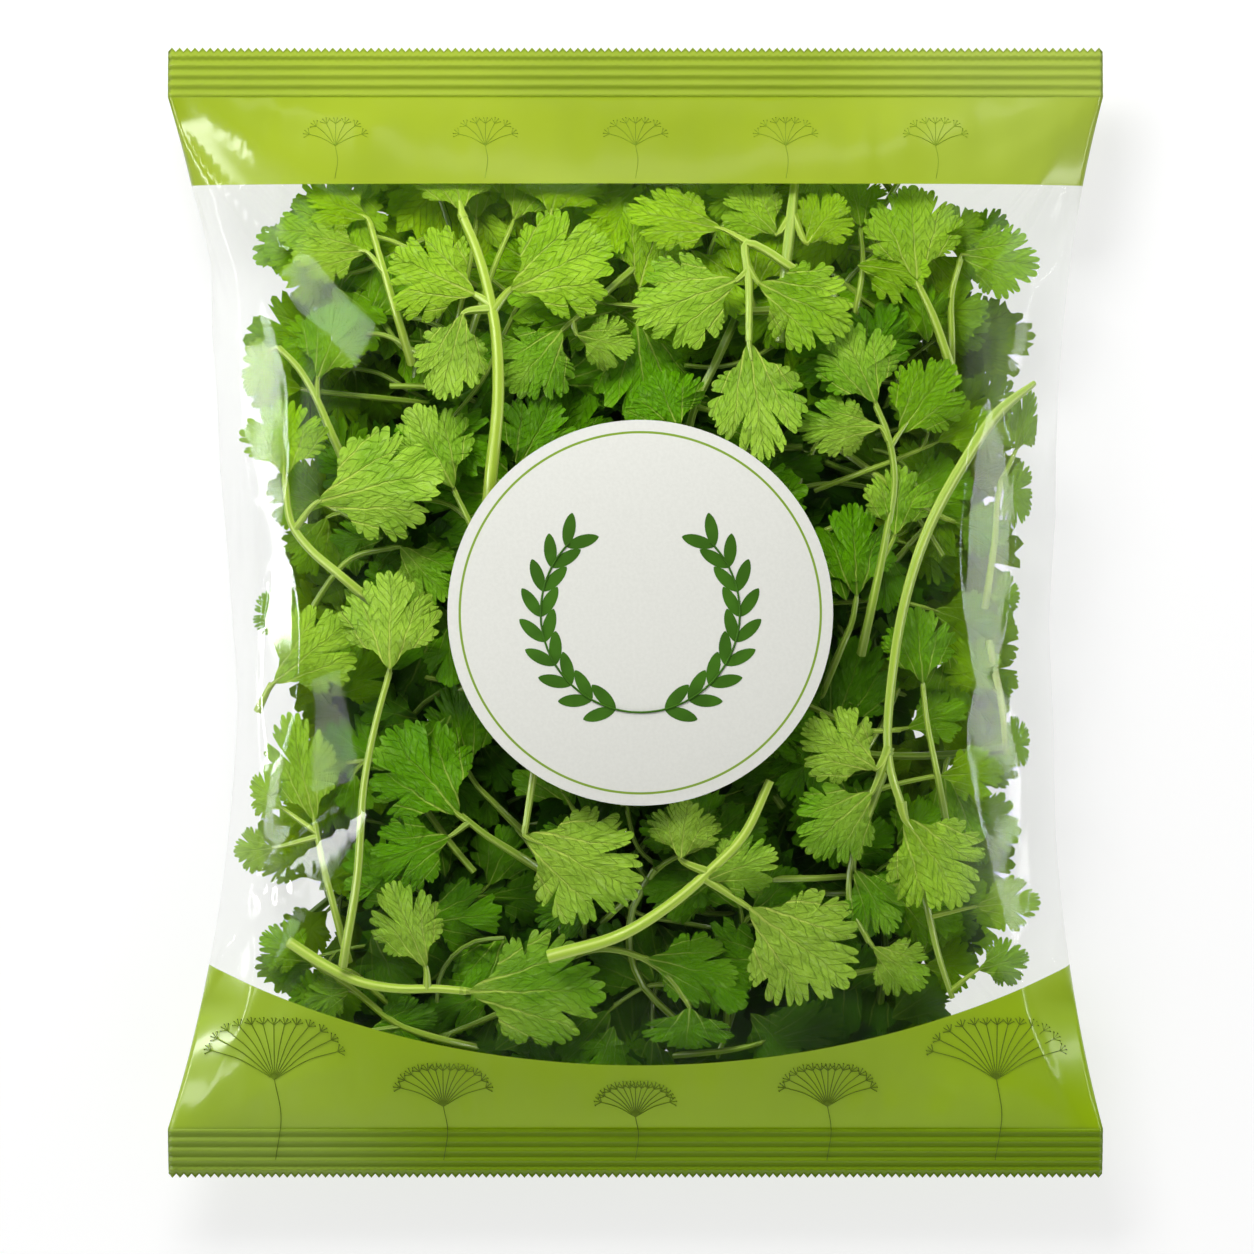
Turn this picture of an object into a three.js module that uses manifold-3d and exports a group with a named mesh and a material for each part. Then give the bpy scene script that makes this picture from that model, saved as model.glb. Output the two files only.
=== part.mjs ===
// A pillow bag of fresh coriander: a clear film tube crimped shut at both ends, a round paper
// label on its front, and the cut, leafy coriander stems that fill it.
//
// Millimetres, +Z up. The bag lies on its back: +X runs across it, +Y towards its top seal, and
// +Z out of its front. The origin is on the surface below the middle of the bag.
import * as THREE from "three";
import Module from "manifold-3d";
import { mergeVertices } from "three/addons/utils/BufferGeometryUtils.js";

// ---- The film bag ----
const BAG_WIDTH = 200; // flat width of the film tube, kept by both end seals
const BAG_LENGTH = 242; // over both end seals
const WAIST_WIDTH = 175; // the filled bag draws in to this half-way along
const SEAL_DEPTH = 10.7; // crimped band at each end
const SEAL_HEIGHT = 19; // the end seals stay at this height over the surface
const FRONT_RISE = 34; // front film over the seals, at the middle
const BACK_DROP = 22; // back film would drop this far below the seals, but lies flat at 0
const FILM = 0.5; // film thickness, far over the real 0.04 so that it makes a solid wall
const SEAM_WIDTH = 12; // lap seam down the middle of the back
const SEAM_STEP = 0.4; // the seam's extra layer of film stands this proud
const CRIMP_RIBS = 5;
const CRIMP_WAVE = 0.45; // half the height of a crimp rib
const SEAL_MARGIN = 2; // flat strip outside the ribs
const TOOTH_PITCH = 8; // zigzag cut along each end
const TOOTH_DEPTH = 1.1;
const VENT_RADIUS = 2.5; // punched breathing holes in the back
const VENT_PLACES = [
  [-32, -42], [-32, 0], [-32, 42],
  [32, -42], [32, 0], [32, 42],
];

// ---- The label ----
const LABEL_RADIUS = 40.7;
const LABEL_THICK = 0.5;
const LABEL_GAP = 0.45; // clear of the facets of the film below
const LABEL_CENTRE = [1, 0];

// ---- The coriander ----
const LEVELS = 9; // stems lie in this many layers, 0 against the front film
const BLADE = 0.62; // leaf thickness
const STALK_HALF = 0.7; // half the width of the short stalk of a leaflet
const SIDE_ROOM = 2.5; // leaves keep this far inside the film's side edges
const FACE_ROOM = 1.7; // and this far inside its faces
const LEAF_REACH = 98; // and this far from the middle, towards either seal
const BACK_GRID = [4, 4]; // sprigs laid by rule, behind the ones that are placed one by one
const BACK_SPACING = [36, 42];
const SEED = 13;

const BODY_HALF = BAG_LENGTH / 2 - SEAL_DEPTH; // middle of the bag to the inner edge of a seal

// A sprig is a stem, from its cut end to its tip, and its leaflets as [base, tip, width / length].
// Places are [x, y] on the front of the bag, front-most sprigs first.
const FRONT_SPRIGS = [
  { place: "top_left_arch", radius: 1.5,
    stem: [[-30.5, 28.5], [-29, 45.5], [-29.5, 59], [-31, 67.5], [-33.5, 76.5], [-37, 85]],
    leaflets: [[[-37, 85.5], [-39.5, 99], 1.2], [[-34, 67.5], [-52, 76], 1.05],
      [[-36.5, 63.5], [-41.5, 45], 0.8], [[-26.5, 68.5], [-5, 79], 0.98]] },
  { place: "top_right_trio", radius: 1.1,
    stem: [[32, 74], [27.5, 77], [23.5, 78.5], [24, 70.5], [24, 57.5]],
    leaflets: [[[18.5, 81.5], [-2, 86], 0.64], [[21.5, 70.5], [-0.5, 62], 0.86],
      [[26, 70], [46, 60.5], 0.86], [[24, 57.5], [27.5, 32], 0.78]] },
  { place: "long_right", radius: 1.6,
    stem: [[85, 49], [77, 42.5], [70, 32.5], [63, 20], [58.5, 8], [55, -8], [53.5, -30.5], [57, -43]],
    leaflets: [[[51, -33], [35.5, -23.5], 0.92], [[50, -38], [35.5, -50.5], 0.92],
      [[57, -43.5], [70, -62], 0.95]] },
  { place: "bottom_arch", radius: 1.4,
    stem: [[-18.5, -73], [-3.5, -68.5], [6.5, -62.5], [16.5, -54], [23, -47], [28.5, -35.5]],
    leaflets: [[[9.5, -52], [11, -39.5], 1.2], [[15.5, -56.5], [30, -50.5], 0.9],
      [[24, -62.5], [46, -79], 0.93]] },
  { place: "bottom_left", radius: 1.25,
    stem: [[-74, -70], [-67, -74.5], [-59, -78.5], [-50.5, -80], [-42, -80], [-36, -80.5]],
    leaflets: [[[-35.5, -80.5], [-6, -80.5], 0.86], [[-44.5, -75.5], [-52.5, -57], 0.74]] },
  { place: "left_big", radius: 1.1,
    stem: [[-62, 7.5], [-69, 13.5], [-73, 19], [-74.5, 28.5]],
    leaflets: [[[-67.5, 23.5], [-40.5, 30.5], 0.84], [[-74.5, 29], [-75, 45.5], 1.12]] },
  { place: "left_column", radius: 1,
    stem: [[-61.5, -71], [-59, -56], [-57.5, -36.5], [-55, -23.5], [-52, -12.5]],
    leaflets: [[[-52, -12], [-52, 9], 1]] },
  { place: "right_branch", radius: 1,
    stem: [[50.5, 3], [53, 15], [55, 28.5], [53.5, 38], [51, 44]],
    leaflets: [[[52, 39.5], [34, 39.5], 0.7], [[51, 44.5], [43.5, 61.5], 0.95],
      [[56, 38], [67.5, 53.5], 0.85], [[55, 16.5], [56.5, 31.5], 0.95]] },
  { place: "low_left_pair", radius: 1,
    stem: [[-26.5, -50.5], [-32, -47], [-37, -43]],
    leaflets: [[[-37.5, -43], [-53, -24.5], 0.95], [[-39.5, -47.5], [-56.5, -54.5], 0.85]] },
  { place: "low_centre", radius: 1,
    stem: [[-21.5, -33.5], [-22.5, -40], [-23.5, -46.5]],
    leaflets: [[[-23.5, -47], [1, -59.5], 0.9]] },
  { place: "upper_centre_pair", radius: 0.9,
    stem: [[-7.5, 67], [-12, 63], [-15, 60.5]],
    leaflets: [[[-15.5, 60], [-26.5, 46.5], 1], [[-12.5, 59], [0, 56], 0.9]] },
  { place: "top_right_leaf", radius: 1.1,
    stem: [[66.5, 54.5], [63.5, 63], [60, 70.5]],
    leaflets: [[[60, 71], [58.5, 92], 0.97]] },
  { place: "right_edge_top", radius: 0.9,
    stem: [[67.5, 58.5], [67.5, 68], [69.5, 75.5]],
    leaflets: [[[69.5, 76.5], [86.5, 74], 0.9]] },
  { place: "centre_right", radius: 0.9,
    stem: [[43.5, -8], [46, -2], [47, 3]],
    leaflets: [[[47, 3.5], [46, 23.5], 0.92]] },
  { place: "left_edge_top", radius: 1,
    stem: [[-64.5, 38], [-68.5, 47], [-72, 52.5], [-76, 56.5]],
    leaflets: [[[-76.5, 56.5], [-89, 47.5], 0.9], [[-67.5, 50], [-61.5, 66], 0.88]] },
  { place: "top_left_corner", radius: 1,
    stem: [[-51, 64.5], [-54, 74.5], [-56.5, 83]],
    leaflets: [[[-57, 84], [-70, 90], 0.85], [[-57.5, 77], [-73.5, 76.5], 0.8]] },
  { place: "left_mid", radius: 0.9,
    stem: [[-80.5, -21], [-79, -18], [-77.5, -15]],
    leaflets: [[[-77, -15], [-60, -1], 0.85]] },
  { place: "left_glare", radius: 0.9,
    stem: [[-64, -62.5], [-66.5, -52.5], [-68, -44.5]],
    leaflets: [[[-68, -44.5], [-74, -21], 0.62], [[-75, -41.5], [-85, -35.5], 0.95],
      [[-77, -50], [-86.5, -51], 1]] },
  { place: "bottom_left_tail", radius: 0.9,
    stem: [[-42.5, -91], [-51, -87.5], [-60.5, -80], [-69, -74.5]],
    leaflets: [[[-56.5, -89], [-42, -85.5], 0.7], [[-61, -80.5], [-70.5, -83.5], 1],
      [[-69.5, -74], [-80, -68.5], 1]] },
  { place: "bottom_trail", radius: 0.9,
    stem: [[-17, -74.5], [-7.5, -71.5], [1.5, -73.5], [7.5, -78], [11, -83]],
    leaflets: [[[2.5, -73.5], [22, -78], 0.78], [[11.5, -84], [11, -95], 1.7]] },
  { place: "pale_right", radius: 0.8,
    stem: [[64, -33.5], [62, -23.5], [61, -15]],
    leaflets: [[[61, -15], [59.5, 1.5], 0.92]] },
  { place: "low_right_pair", radius: 0.8,
    stem: [[48.5, -45.5], [46, -52], [45.5, -61.5], [49.5, -70]],
    leaflets: [[[46.5, -54.5], [55, -68], 0.8], [[50.5, -71], [62, -79.5], 0.88]] },
  { place: "bottom_right_leaf", radius: 0.8,
    stem: [[14, -97], [21.5, -95], [27, -92.5]],
    leaflets: [[[27.5, -92], [44.5, -86.5], 0.72]] },
  { place: "right_low_stem", radius: 0.9,
    stem: [[62, -62.5], [64.5, -73], [67.5, -82]],
    leaflets: [[[73, -76], [84, -73], 0.9], [[72.5, -62.5], [88, -61.5], 0.75]] },
  { place: "right_edge_mid", radius: 0.8,
    stem: [[75, 5], [76.5, 15.5], [77.5, 26], [80.5, 33.5]],
    leaflets: [[[78, 29], [89.5, 21.5], 1.1], [[81, 34.5], [88, 47.5], 0.9],
      [[75.5, 3.5], [85, 3.5], 1.1]] },
  { place: "top_centre_leaf", radius: 0.8,
    stem: [[-16, 75], [-17, 80.5], [-18, 84.5]],
    leaflets: [[[-18, 85], [-15, 97], 1.5]] },
  { place: "top_right_back", radius: 1.4,
    stem: [[34, 93.5], [33, 83], [31.5, 70], [30.5, 57.5]],
    leaflets: [[[30, 80.5], [20, 90.5], 1], [[36.5, 78.5], [44, 89], 1]] },
  { place: "top_pale", radius: 0.8,
    stem: [[47, 64.5], [48.5, 74], [48, 82]],
    leaflets: [[[48, 82.5], [46, 94.5], 1.1]] },
  { place: "label_top_leaf", radius: 0.8,
    stem: [[14, 30.5], [11.5, 35], [9.5, 38.5]],
    leaflets: [[[9, 39], [4, 51], 1.3]] },
  { place: "label_left_leaf", radius: 0.8,
    stem: [[-28, 20], [-27.5, 24.5], [-25.5, 29.5]],
    leaflets: [[[-25, 30.5], [-17, 45.5], 1.05]] },
  { place: "left_bright", radius: 0.8,
    stem: [[-35.5, 20], [-37, 23], [-38.5, 26]],
    leaflets: [[[-38.5, 26.5], [-48, 44], 0.92]] },
  { place: "left_low_back", radius: 0.8,
    stem: [[-72, -6], [-67.5, 3], [-60.5, 11.5], [-51, 14]],
    leaflets: [[[-50, 14], [-39.5, 3], 0.95], [[-73, -4], [-80, 4], 1]] },
  { place: "low_left_top", radius: 0.8,
    stem: [[-30.5, -40], [-33.5, -37], [-35.5, -34]],
    leaflets: [[[-35.5, -33.5], [-39.5, -15], 0.82]] },
  { place: "right_column", radius: 0.9,
    stem: [[76, -10], [78, -19.5], [79, -29.5]],
    leaflets: [[[79, -30], [88, -25], 1.1], [[76.5, -16.5], [67.5, -6], 0.9]] },
];

// One side of a leaflet's outline, [along, aside] from its base to its tip for a leaflet 1 long:
// a wedge, a side lobe, a deep notch, and half of the middle lobe. Small leaflets, and those that
// lie deep in the bag, have lobes without teeth.
const TOOTHED = {
  side: [[0, 0.035], [0.2, 0.16], [0.28, 0.41], [0.42, 0.37],
    [0.62, 0.5], [0.6, 0.19], [0.82, 0.29], [0.87, 0.12]],
  notch: 5, // which point is the bottom of the notch
};
const PLAIN = {
  side: [[0, 0.035], [0.24, 0.38], [0.62, 0.48], [0.6, 0.2], [0.86, 0.25]],
  notch: 3,
};
const SMALL = 17; // leaflets shorter than this are small
const MIDRIB = [0.33, 0.64]; // the two places along the midrib that the facets meet at

const wasm = await Module();
wasm.setup();

// ---- Solids and meshes ----

// A closed indexed geometry as a manifold-3d solid.
function solidOf(geometry) {
  const bare = geometry.clone();
  bare.deleteAttribute("normal");
  bare.deleteAttribute("uv");
  const merged = mergeVertices(bare, 1e-4);
  return new wasm.Manifold(new wasm.Mesh({
    numProp: 3,
    vertProperties: new Float32Array(merged.attributes.position.array),
    triVerts: new Uint32Array(merged.index.array),
  }));
}

function geometryOf(solid) {
  const mesh = solid.getMesh();
  const geometry = new THREE.BufferGeometry();
  geometry.setAttribute("position", new THREE.BufferAttribute(mesh.vertProperties, 3));
  geometry.setIndex(new THREE.BufferAttribute(mesh.triVerts, 1));
  geometry.computeVertexNormals();
  return geometry;
}

function indexed(points, triangles) {
  const geometry = new THREE.BufferGeometry();
  geometry.setAttribute("position", new THREE.Float32BufferAttribute(points.flat(), 3));
  geometry.setIndex(triangles.flat());
  return geometry;
}

// Joins rings of equal length, one after the other, into a closed skin with a fan over each end.
function loft(rings) {
  const n = rings[0].length;
  const points = rings.flat();
  const triangles = [];
  for (let i = 0; i + 1 < rings.length; i++) {
    for (let j = 0; j < n; j++) {
      const a = i * n + j;
      const b = i * n + ((j + 1) % n);
      triangles.push([a, b, b + n], [a, b + n, a + n]);
    }
  }
  [[rings[0], 0], [rings.at(-1), (rings.length - 1) * n]].forEach(([ring, first], end) => {
    const middle = [0, 1, 2].map((k) => ring.reduce((sum, p) => sum + p[k], 0) / n);
    points.push(middle);
    for (let j = 0; j < n; j++) {
      const edge = [first + j, first + ((j + 1) % n)];
      triangles.push([points.length - 1, ...(end ? edge : edge.reverse())]);
    }
  });
  return indexed(points, triangles);
}

// ---- The bag's shape ----

const bump = (t, power) => Math.max(0, 1 - Math.abs(t) ** power);

// Half the bag's width at y: full at the seals, drawn in at the waist.
function halfWidth(y) {
  return WAIST_WIDTH / 2 + ((BAG_WIDTH - WAIST_WIDTH) / 2) * Math.abs(y / BODY_HALF) ** 2.5;
}

// How far the front and the back film swell at y, as shares of their full swell.
const frontSwell = (y) => bump(y / BODY_HALF, 2.6) ** 0.9;
const backSwell = (y) => bump(y / BODY_HALF, 3) ** 0.9;

const FRONT_ROUND = 2.2; // powers of the superellipse halves of a cross-section
const BACK_ROUND = 3;

// A cross-section of the bag at y: the front film from right to left, then the back film.
function section(y, half, skin) {
  const ring = [];
  for (let i = 0; i <= 16; i++) {
    const angle = (Math.PI * i) / 16;
    const u = Math.sign(Math.cos(angle)) * Math.abs(Math.cos(angle)) ** (2 / FRONT_ROUND);
    const lift = FRONT_RISE * frontSwell(y) * bump(u, FRONT_ROUND) ** (1 / FRONT_ROUND);
    ring.push([half * u, y, SEAL_HEIGHT + skin + lift]);
  }
  const seam = SEAM_WIDTH / 2;
  const sides = [1, 2, 3, 4, 5].map((i) => half * Math.cos((Math.PI * i) / 13) ** (2 / BACK_ROUND));
  const columns = [...sides, seam + 0.6, seam];
  for (const x of [...columns.map((c) => -c), ...columns.reverse()]) {
    const drop = BACK_DROP * backSwell(y) * bump(x / half, BACK_ROUND) ** (1 / BACK_ROUND);
    const outside = Math.abs(x) > seam ? SEAM_STEP : 0;
    ring.push([x, y, Math.max(SEAL_HEIGHT - skin - drop, skin ? outside : SEAM_STEP + FILM)]);
  }
  return ring;
}

// Stations along the bag from its top end, closer together towards the seals.
function stations(reach) {
  return Array.from({ length: 15 }, (_, i) => reach * Math.sin(Math.PI * (0.5 - i / 14)));
}

// A crimped end seal: a plate with parallel ribs, and a flat margin cut to a zigzag.
function endSeal(side) {
  const inner = BODY_HALF - 0.4;
  const outer = BAG_LENGTH / 2 - SEAL_MARGIN;
  const last = CRIMP_RIBS * 2 + 1;
  const at = (i, z) => {
    const wave = i > 0 && i < last ? CRIMP_WAVE * (-1) ** i : 0;
    return new THREE.Vector2(side * (inner + ((outer - inner) * i) / last), wave + z);
  };
  const steps = Array.from({ length: last + 1 }, (_, i) => i);
  const ribbed = new THREE.Shape([
    ...steps.map((i) => at(i, FILM)), ...steps.toReversed().map((i) => at(i, -FILM))]);
  const plate = new THREE.ExtrudeGeometry(ribbed, { depth: BAG_WIDTH, bevelEnabled: false });
  // The profile is drawn in the YZ plane and drawn out along X.
  plate.applyMatrix4(new THREE.Matrix4().makeBasis(
    new THREE.Vector3(0, 1, 0), new THREE.Vector3(0, 0, 1), new THREE.Vector3(1, 0, 0)));
  plate.translate(-BAG_WIDTH / 2, 0, SEAL_HEIGHT);
  const zigzag = [[BAG_WIDTH / 2, outer - 0.4], [-BAG_WIDTH / 2, outer - 0.4]];
  const teeth = BAG_WIDTH / TOOTH_PITCH;
  for (let i = 0; i < teeth; i++) {
    const x = -BAG_WIDTH / 2 + i * TOOTH_PITCH;
    zigzag.push([x, BAG_LENGTH / 2 - TOOTH_DEPTH], [x + TOOTH_PITCH / 2, BAG_LENGTH / 2]);
  }
  zigzag.push([BAG_WIDTH / 2, BAG_LENGTH / 2 - TOOTH_DEPTH]);
  const edge = new THREE.Shape(zigzag.map(([x, y]) => new THREE.Vector2(x, side * y)));
  const margin = new THREE.ExtrudeGeometry(edge, { depth: 2 * FILM, bevelEnabled: false });
  return solidOf(plate).add(solidOf(margin.translate(0, 0, SEAL_HEIGHT - FILM)));
}

// The whole bag as one piece of film: the tube and both seals, less the inside and the vents.
function filmBag() {
  const tube = (reach, inset, skin) =>
    solidOf(loft(stations(reach).map((y) => section(y, halfWidth(y) - inset, skin))));
  const inner = tube(BODY_HALF - 0.6, FILM * 1.2, 0);
  let film = tube(BODY_HALF, 0.05, FILM).add(endSeal(1)).add(endSeal(-1)).subtract(inner);
  for (const [x, y] of VENT_PLACES) {
    const punch = new THREE.CylinderGeometry(VENT_RADIUS, VENT_RADIUS, 6, 8).rotateX(Math.PI / 2);
    film = film.subtract(solidOf(punch.translate(x, y, 0)));
  }
  return film;
}

// Height of the outside of the front film.
function frontTop(x, y) {
  const lift = bump(x / halfWidth(y), FRONT_ROUND) ** (1 / FRONT_ROUND);
  return SEAL_HEIGHT + FILM + FRONT_RISE * frontSwell(y) * lift;
}

// ---- The label: a round sheet that follows the front film ----

function label() {
  const spokes = 28;
  const rings = 3;
  const at = (ring, spoke, z) => {
    const reach = (LABEL_RADIUS * ring) / rings;
    const angle = (2 * Math.PI * spoke) / spokes;
    const x = LABEL_CENTRE[0] + reach * Math.cos(angle);
    const y = LABEL_CENTRE[1] + reach * Math.sin(angle);
    return [x, y, frontTop(x, y) + LABEL_GAP + z];
  };
  const points = [];
  const triangles = [];
  for (const z of [0, LABEL_THICK]) {
    points.push(at(0, 0, z));
    for (let r = 1; r <= rings; r++) for (let s = 0; s < spokes; s++) points.push(at(r, s, z));
  }
  const side = 1 + rings * spokes;
  for (let s = 0; s < spokes; s++) {
    const next = (s + 1) % spokes;
    const spot = (r, k, top) => (r ? 1 + (r - 1) * spokes + k : 0) + (top ? side : 0);
    triangles.push([spot(0, 0, 1), spot(1, s, 1), spot(1, next, 1)]);
    triangles.push([spot(0, 0, 0), spot(1, next, 0), spot(1, s, 0)]);
    for (let r = 1; r < rings; r++) {
      triangles.push([spot(r, s, 1), spot(r + 1, s, 1), spot(r + 1, next, 1)]);
      triangles.push([spot(r, s, 1), spot(r + 1, next, 1), spot(r, next, 1)]);
      triangles.push([spot(r, s, 0), spot(r + 1, next, 0), spot(r + 1, s, 0)]);
      triangles.push([spot(r, s, 0), spot(r, next, 0), spot(r + 1, next, 0)]);
    }
    triangles.push([spot(rings, s, 1), spot(rings, s, 0), spot(rings, next, 0)]);
    triangles.push([spot(rings, s, 1), spot(rings, next, 0), spot(rings, next, 1)]);
  }
  return solidOf(indexed(points, triangles));
}

// ---- Where the coriander may lie ----

// Eases a distance that would pass the limit to just inside it, without folding it back.
function easeInto(distance, limit) {
  const free = limit * 0.9;
  const past = Math.abs(distance) - free;
  if (past <= 0) return distance;
  return Math.sign(distance) * (free + (limit - free) * (1 - Math.exp(-past / (limit - free))));
}

// A point on the plan, pressed in from the sides and the seals as far as the film presses it.
function settle([x, y]) {
  const along = easeInto(y, LEAF_REACH);
  return [easeInto(x, (halfWidth(along) - SIDE_ROOM) * 0.955), along];
}

// The lowest and the highest place for a leaf at a settled point.
function room(x, y) {
  const u = x / (halfWidth(y) - SIDE_ROOM);
  const front = (FRONT_RISE - FACE_ROOM) * frontSwell(y) * bump(u, FRONT_ROUND) ** (1 / FRONT_ROUND);
  const back = BACK_DROP * backSwell(y) * bump(u, BACK_ROUND) ** (1 / BACK_ROUND) - FACE_ROOM;
  return [Math.max(SEAL_HEIGHT - back, SEAM_STEP + FILM + FACE_ROOM), SEAL_HEIGHT + front];
}

// How thick one level is there.
function levelStep(x, y) {
  const [low, high] = room(x, y);
  return (high - low) / LEVELS;
}

// The middle of a level, with relief from -1 to 1 inside the level's own room.
function levelHeight(x, y, level, relief = 0) {
  const [, high] = room(x, y);
  const step = levelStep(x, y);
  const play = Math.max(0, Math.min(0.3 * step, 0.5 * step - BLADE));
  return high - (level + 0.5) * step + play * relief;
}

// ---- Which sprig lies over which ----

const distance = (a, b) => Math.hypot(a[0] - b[0], a[1] - b[1]);
const between = (a, b, t) => [a[0] + (b[0] - a[0]) * t, a[1] + (b[1] - a[1]) * t];

// Where a leaflet's stalk starts: inside the stem, by its point nearest to the leaflet's base.
// Leaflets that share a stem point start one after the other.
function stalkFoot({ stem, leaflets }, leaflet) {
  const near = stem.reduce((best, p, i) =>
    (distance(p, leaflet[0]) < distance(stem[best], leaflet[0]) ? i : best), 0);
  const inward = stem[near ? near - 1 : 1];
  const set = 1.4 + 0.8 * leaflets.indexOf(leaflet);
  return between(stem[near], inward, set / distance(stem[near], inward));
}

// Round patches that cover a sprig's plan, as [x, y, radius].
function footprint(sprig) {
  const patches = [];
  const strip = (a, b, radius) => {
    const steps = Math.max(1, Math.ceil(distance(a, b) / 3));
    for (let i = 0; i <= steps; i++) patches.push([...between(a, b, i / steps), radius]);
  };
  sprig.stem.slice(1).forEach((p, i) => strip(sprig.stem[i], p, sprig.radius + 0.4));
  for (const leaflet of sprig.leaflets) {
    const [base, tip, wide] = leaflet;
    const long = distance(base, tip);
    strip(stalkFoot(sprig, leaflet), base, STALK_HALF + 0.4);
    patches.push([...between(base, tip, 0.18), long * 0.2]);
    for (const side of [-1, 1]) {
      const off = (side * wide) / 4;
      const middle = between(base, tip, 0.46);
      patches.push([middle[0] - (tip[1] - base[1]) * off, middle[1] + (tip[0] - base[0]) * off,
        long * 0.31 * Math.max(0.8, wide)]);
    }
    patches.push([...between(base, tip, 0.78), long * 0.33 * Math.max(0.8, wide)]);
  }
  return patches;
}

const crosses = (a, b) => a.some((p) => b.some((q) => distance(p, q) < p[2] + q[2]));

// A level for each sprig: one past the last level that holds a sprig it crosses.
function stack(sprigs) {
  const laid = [];
  for (const sprig of sprigs) {
    const print = footprint(sprig);
    const above = laid.filter((other) => crosses(print, other.print));
    laid.push({ ...sprig, print, level: Math.max(-1, ...above.map((other) => other.level)) + 1 });
  }
  return laid;
}

// A seeded stream of numbers from 0 to 1.
function stream(seed) {
  let state = seed >>> 0;
  return () => {
    state = (state + 0x6d2b79f5) >>> 0;
    let t = state;
    t = Math.imul(t ^ (t >>> 15), t | 1);
    t ^= t + Math.imul(t ^ (t >>> 7), t | 61);
    return ((t ^ (t >>> 14)) >>> 0) / 4294967296;
  };
}

// A sprig near a place in the bag: a bent stem with a side leaflet, and three at its tip.
function looseSprig(draw, [x, y]) {
  const heading = draw() * 2 * Math.PI;
  const bend = (draw() - 0.5) * 0.9;
  const middle = [x + (draw() - 0.5) * 24, y + (draw() - 0.5) * 28];
  const size = 21 + 5 * draw();
  const stem = [0, 1, 2, 3].map((i) => {
    const turn = heading + bend * (i / 3 - 0.5);
    const step = (i - 2.2) * 12;
    return [middle[0] + step * Math.cos(turn), middle[1] + step * Math.sin(turn)];
  });
  const leaflet = (foot, turn, stalk, long) => {
    const base = [foot[0] + stalk * Math.cos(turn), foot[1] + stalk * Math.sin(turn)];
    return [base, [base[0] + long * Math.cos(turn), base[1] + long * Math.sin(turn)], 0.92];
  };
  const end = heading + bend / 2;
  const leaflets = [
    leaflet(stem[1], heading + (draw() > 0.5 ? 1.7 : -1.7), 4, size * 0.8),
    leaflet(stem[3], end, 3, size),
    leaflet(stem[3], end + 1.75, 4, size * 0.9),
    leaflet(stem[3], end - 1.75, 4, size * 0.9),
  ];
  return { radius: 1, stem, leaflets, deep: true };
}

// All sprigs with their levels: the placed ones from the front film down, then one for each cell
// of a grid from the back film up, drawn again until it lies clear below the placed ones.
function arrange() {
  const front = stack(FRONT_SPRIGS);
  const back = [];
  const draw = stream(SEED);
  const [columns, rows] = BACK_GRID;
  for (let cell = 0; cell < columns * rows; cell++) {
    const centre = [((cell % columns) - (columns - 1) / 2) * BACK_SPACING[0],
      (Math.floor(cell / columns) - (rows - 1) / 2) * BACK_SPACING[1]];
    let laid = false;
    for (let tries = 0; tries < 400 && !laid; tries++) {
      const sprig = looseSprig(draw, centre);
      const print = footprint(sprig);
      const crossed = (others) => others.filter((other) => crosses(print, other.print));
      const level = Math.min(LEVELS, ...crossed(back).map((other) => other.level)) - 1;
      const clear = level > Math.max(-1, ...crossed(front).map((other) => other.level));
      const inside = print.every(([x, y]) => Math.abs(x) < 82 && Math.abs(y) < 92);
      const name = "inner_" + String(back.length + 1).padStart(2, "0");
      laid = clear && inside;
      if (laid) back.push({ ...sprig, place: name, print, level });
    }
  }
  return [...front, ...back];
}

// ---- The sprigs' solids ----

// The stem's middle line: through its plan points, and on its level.
function stemLine(sprig) {
  const points = sprig.stem.map((p) => new THREE.Vector3(...settle(p), 0));
  const curve = new THREE.CatmullRomCurve3(points, false, "centripetal");
  const line = [points[0]];
  for (let i = 1; i < points.length; i++) {
    const parts = Math.ceil(points[i].distanceTo(points[i - 1]) / 12.5);
    for (let k = 1; k <= parts; k++) {
      line.push(curve.getPoint((i - 1 + k / parts) / (points.length - 1)));
    }
  }
  for (const p of line) p.z = levelHeight(p.x, p.y, sprig.level);
  return line;
}

// A round stem along that line, tapering to its tip.
function stemSolid(sprig) {
  const line = stemLine(sprig);
  const last = line.length - 1;
  return solidOf(loft(line.map((p, i) => {
    const ahead = line[Math.min(i + 1, last)].clone().sub(line[Math.max(i - 1, 0)]).normalize();
    const aside = new THREE.Vector3(-ahead.y, ahead.x, 0).normalize();
    const upward = new THREE.Vector3().crossVectors(ahead, aside);
    const radius = Math.min(sprig.radius * (1 - 0.35 * (i / last)), 0.5 * levelStep(p.x, p.y) - 0.4);
    return Array.from({ length: 5 }, (_, j) => {
      const angle = (2 * Math.PI * j) / 5;
      const q = p.clone().addScaledVector(aside, radius * Math.cos(angle));
      return q.addScaledVector(upward, radius * Math.sin(angle)).toArray();
    });
  })));
}

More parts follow.
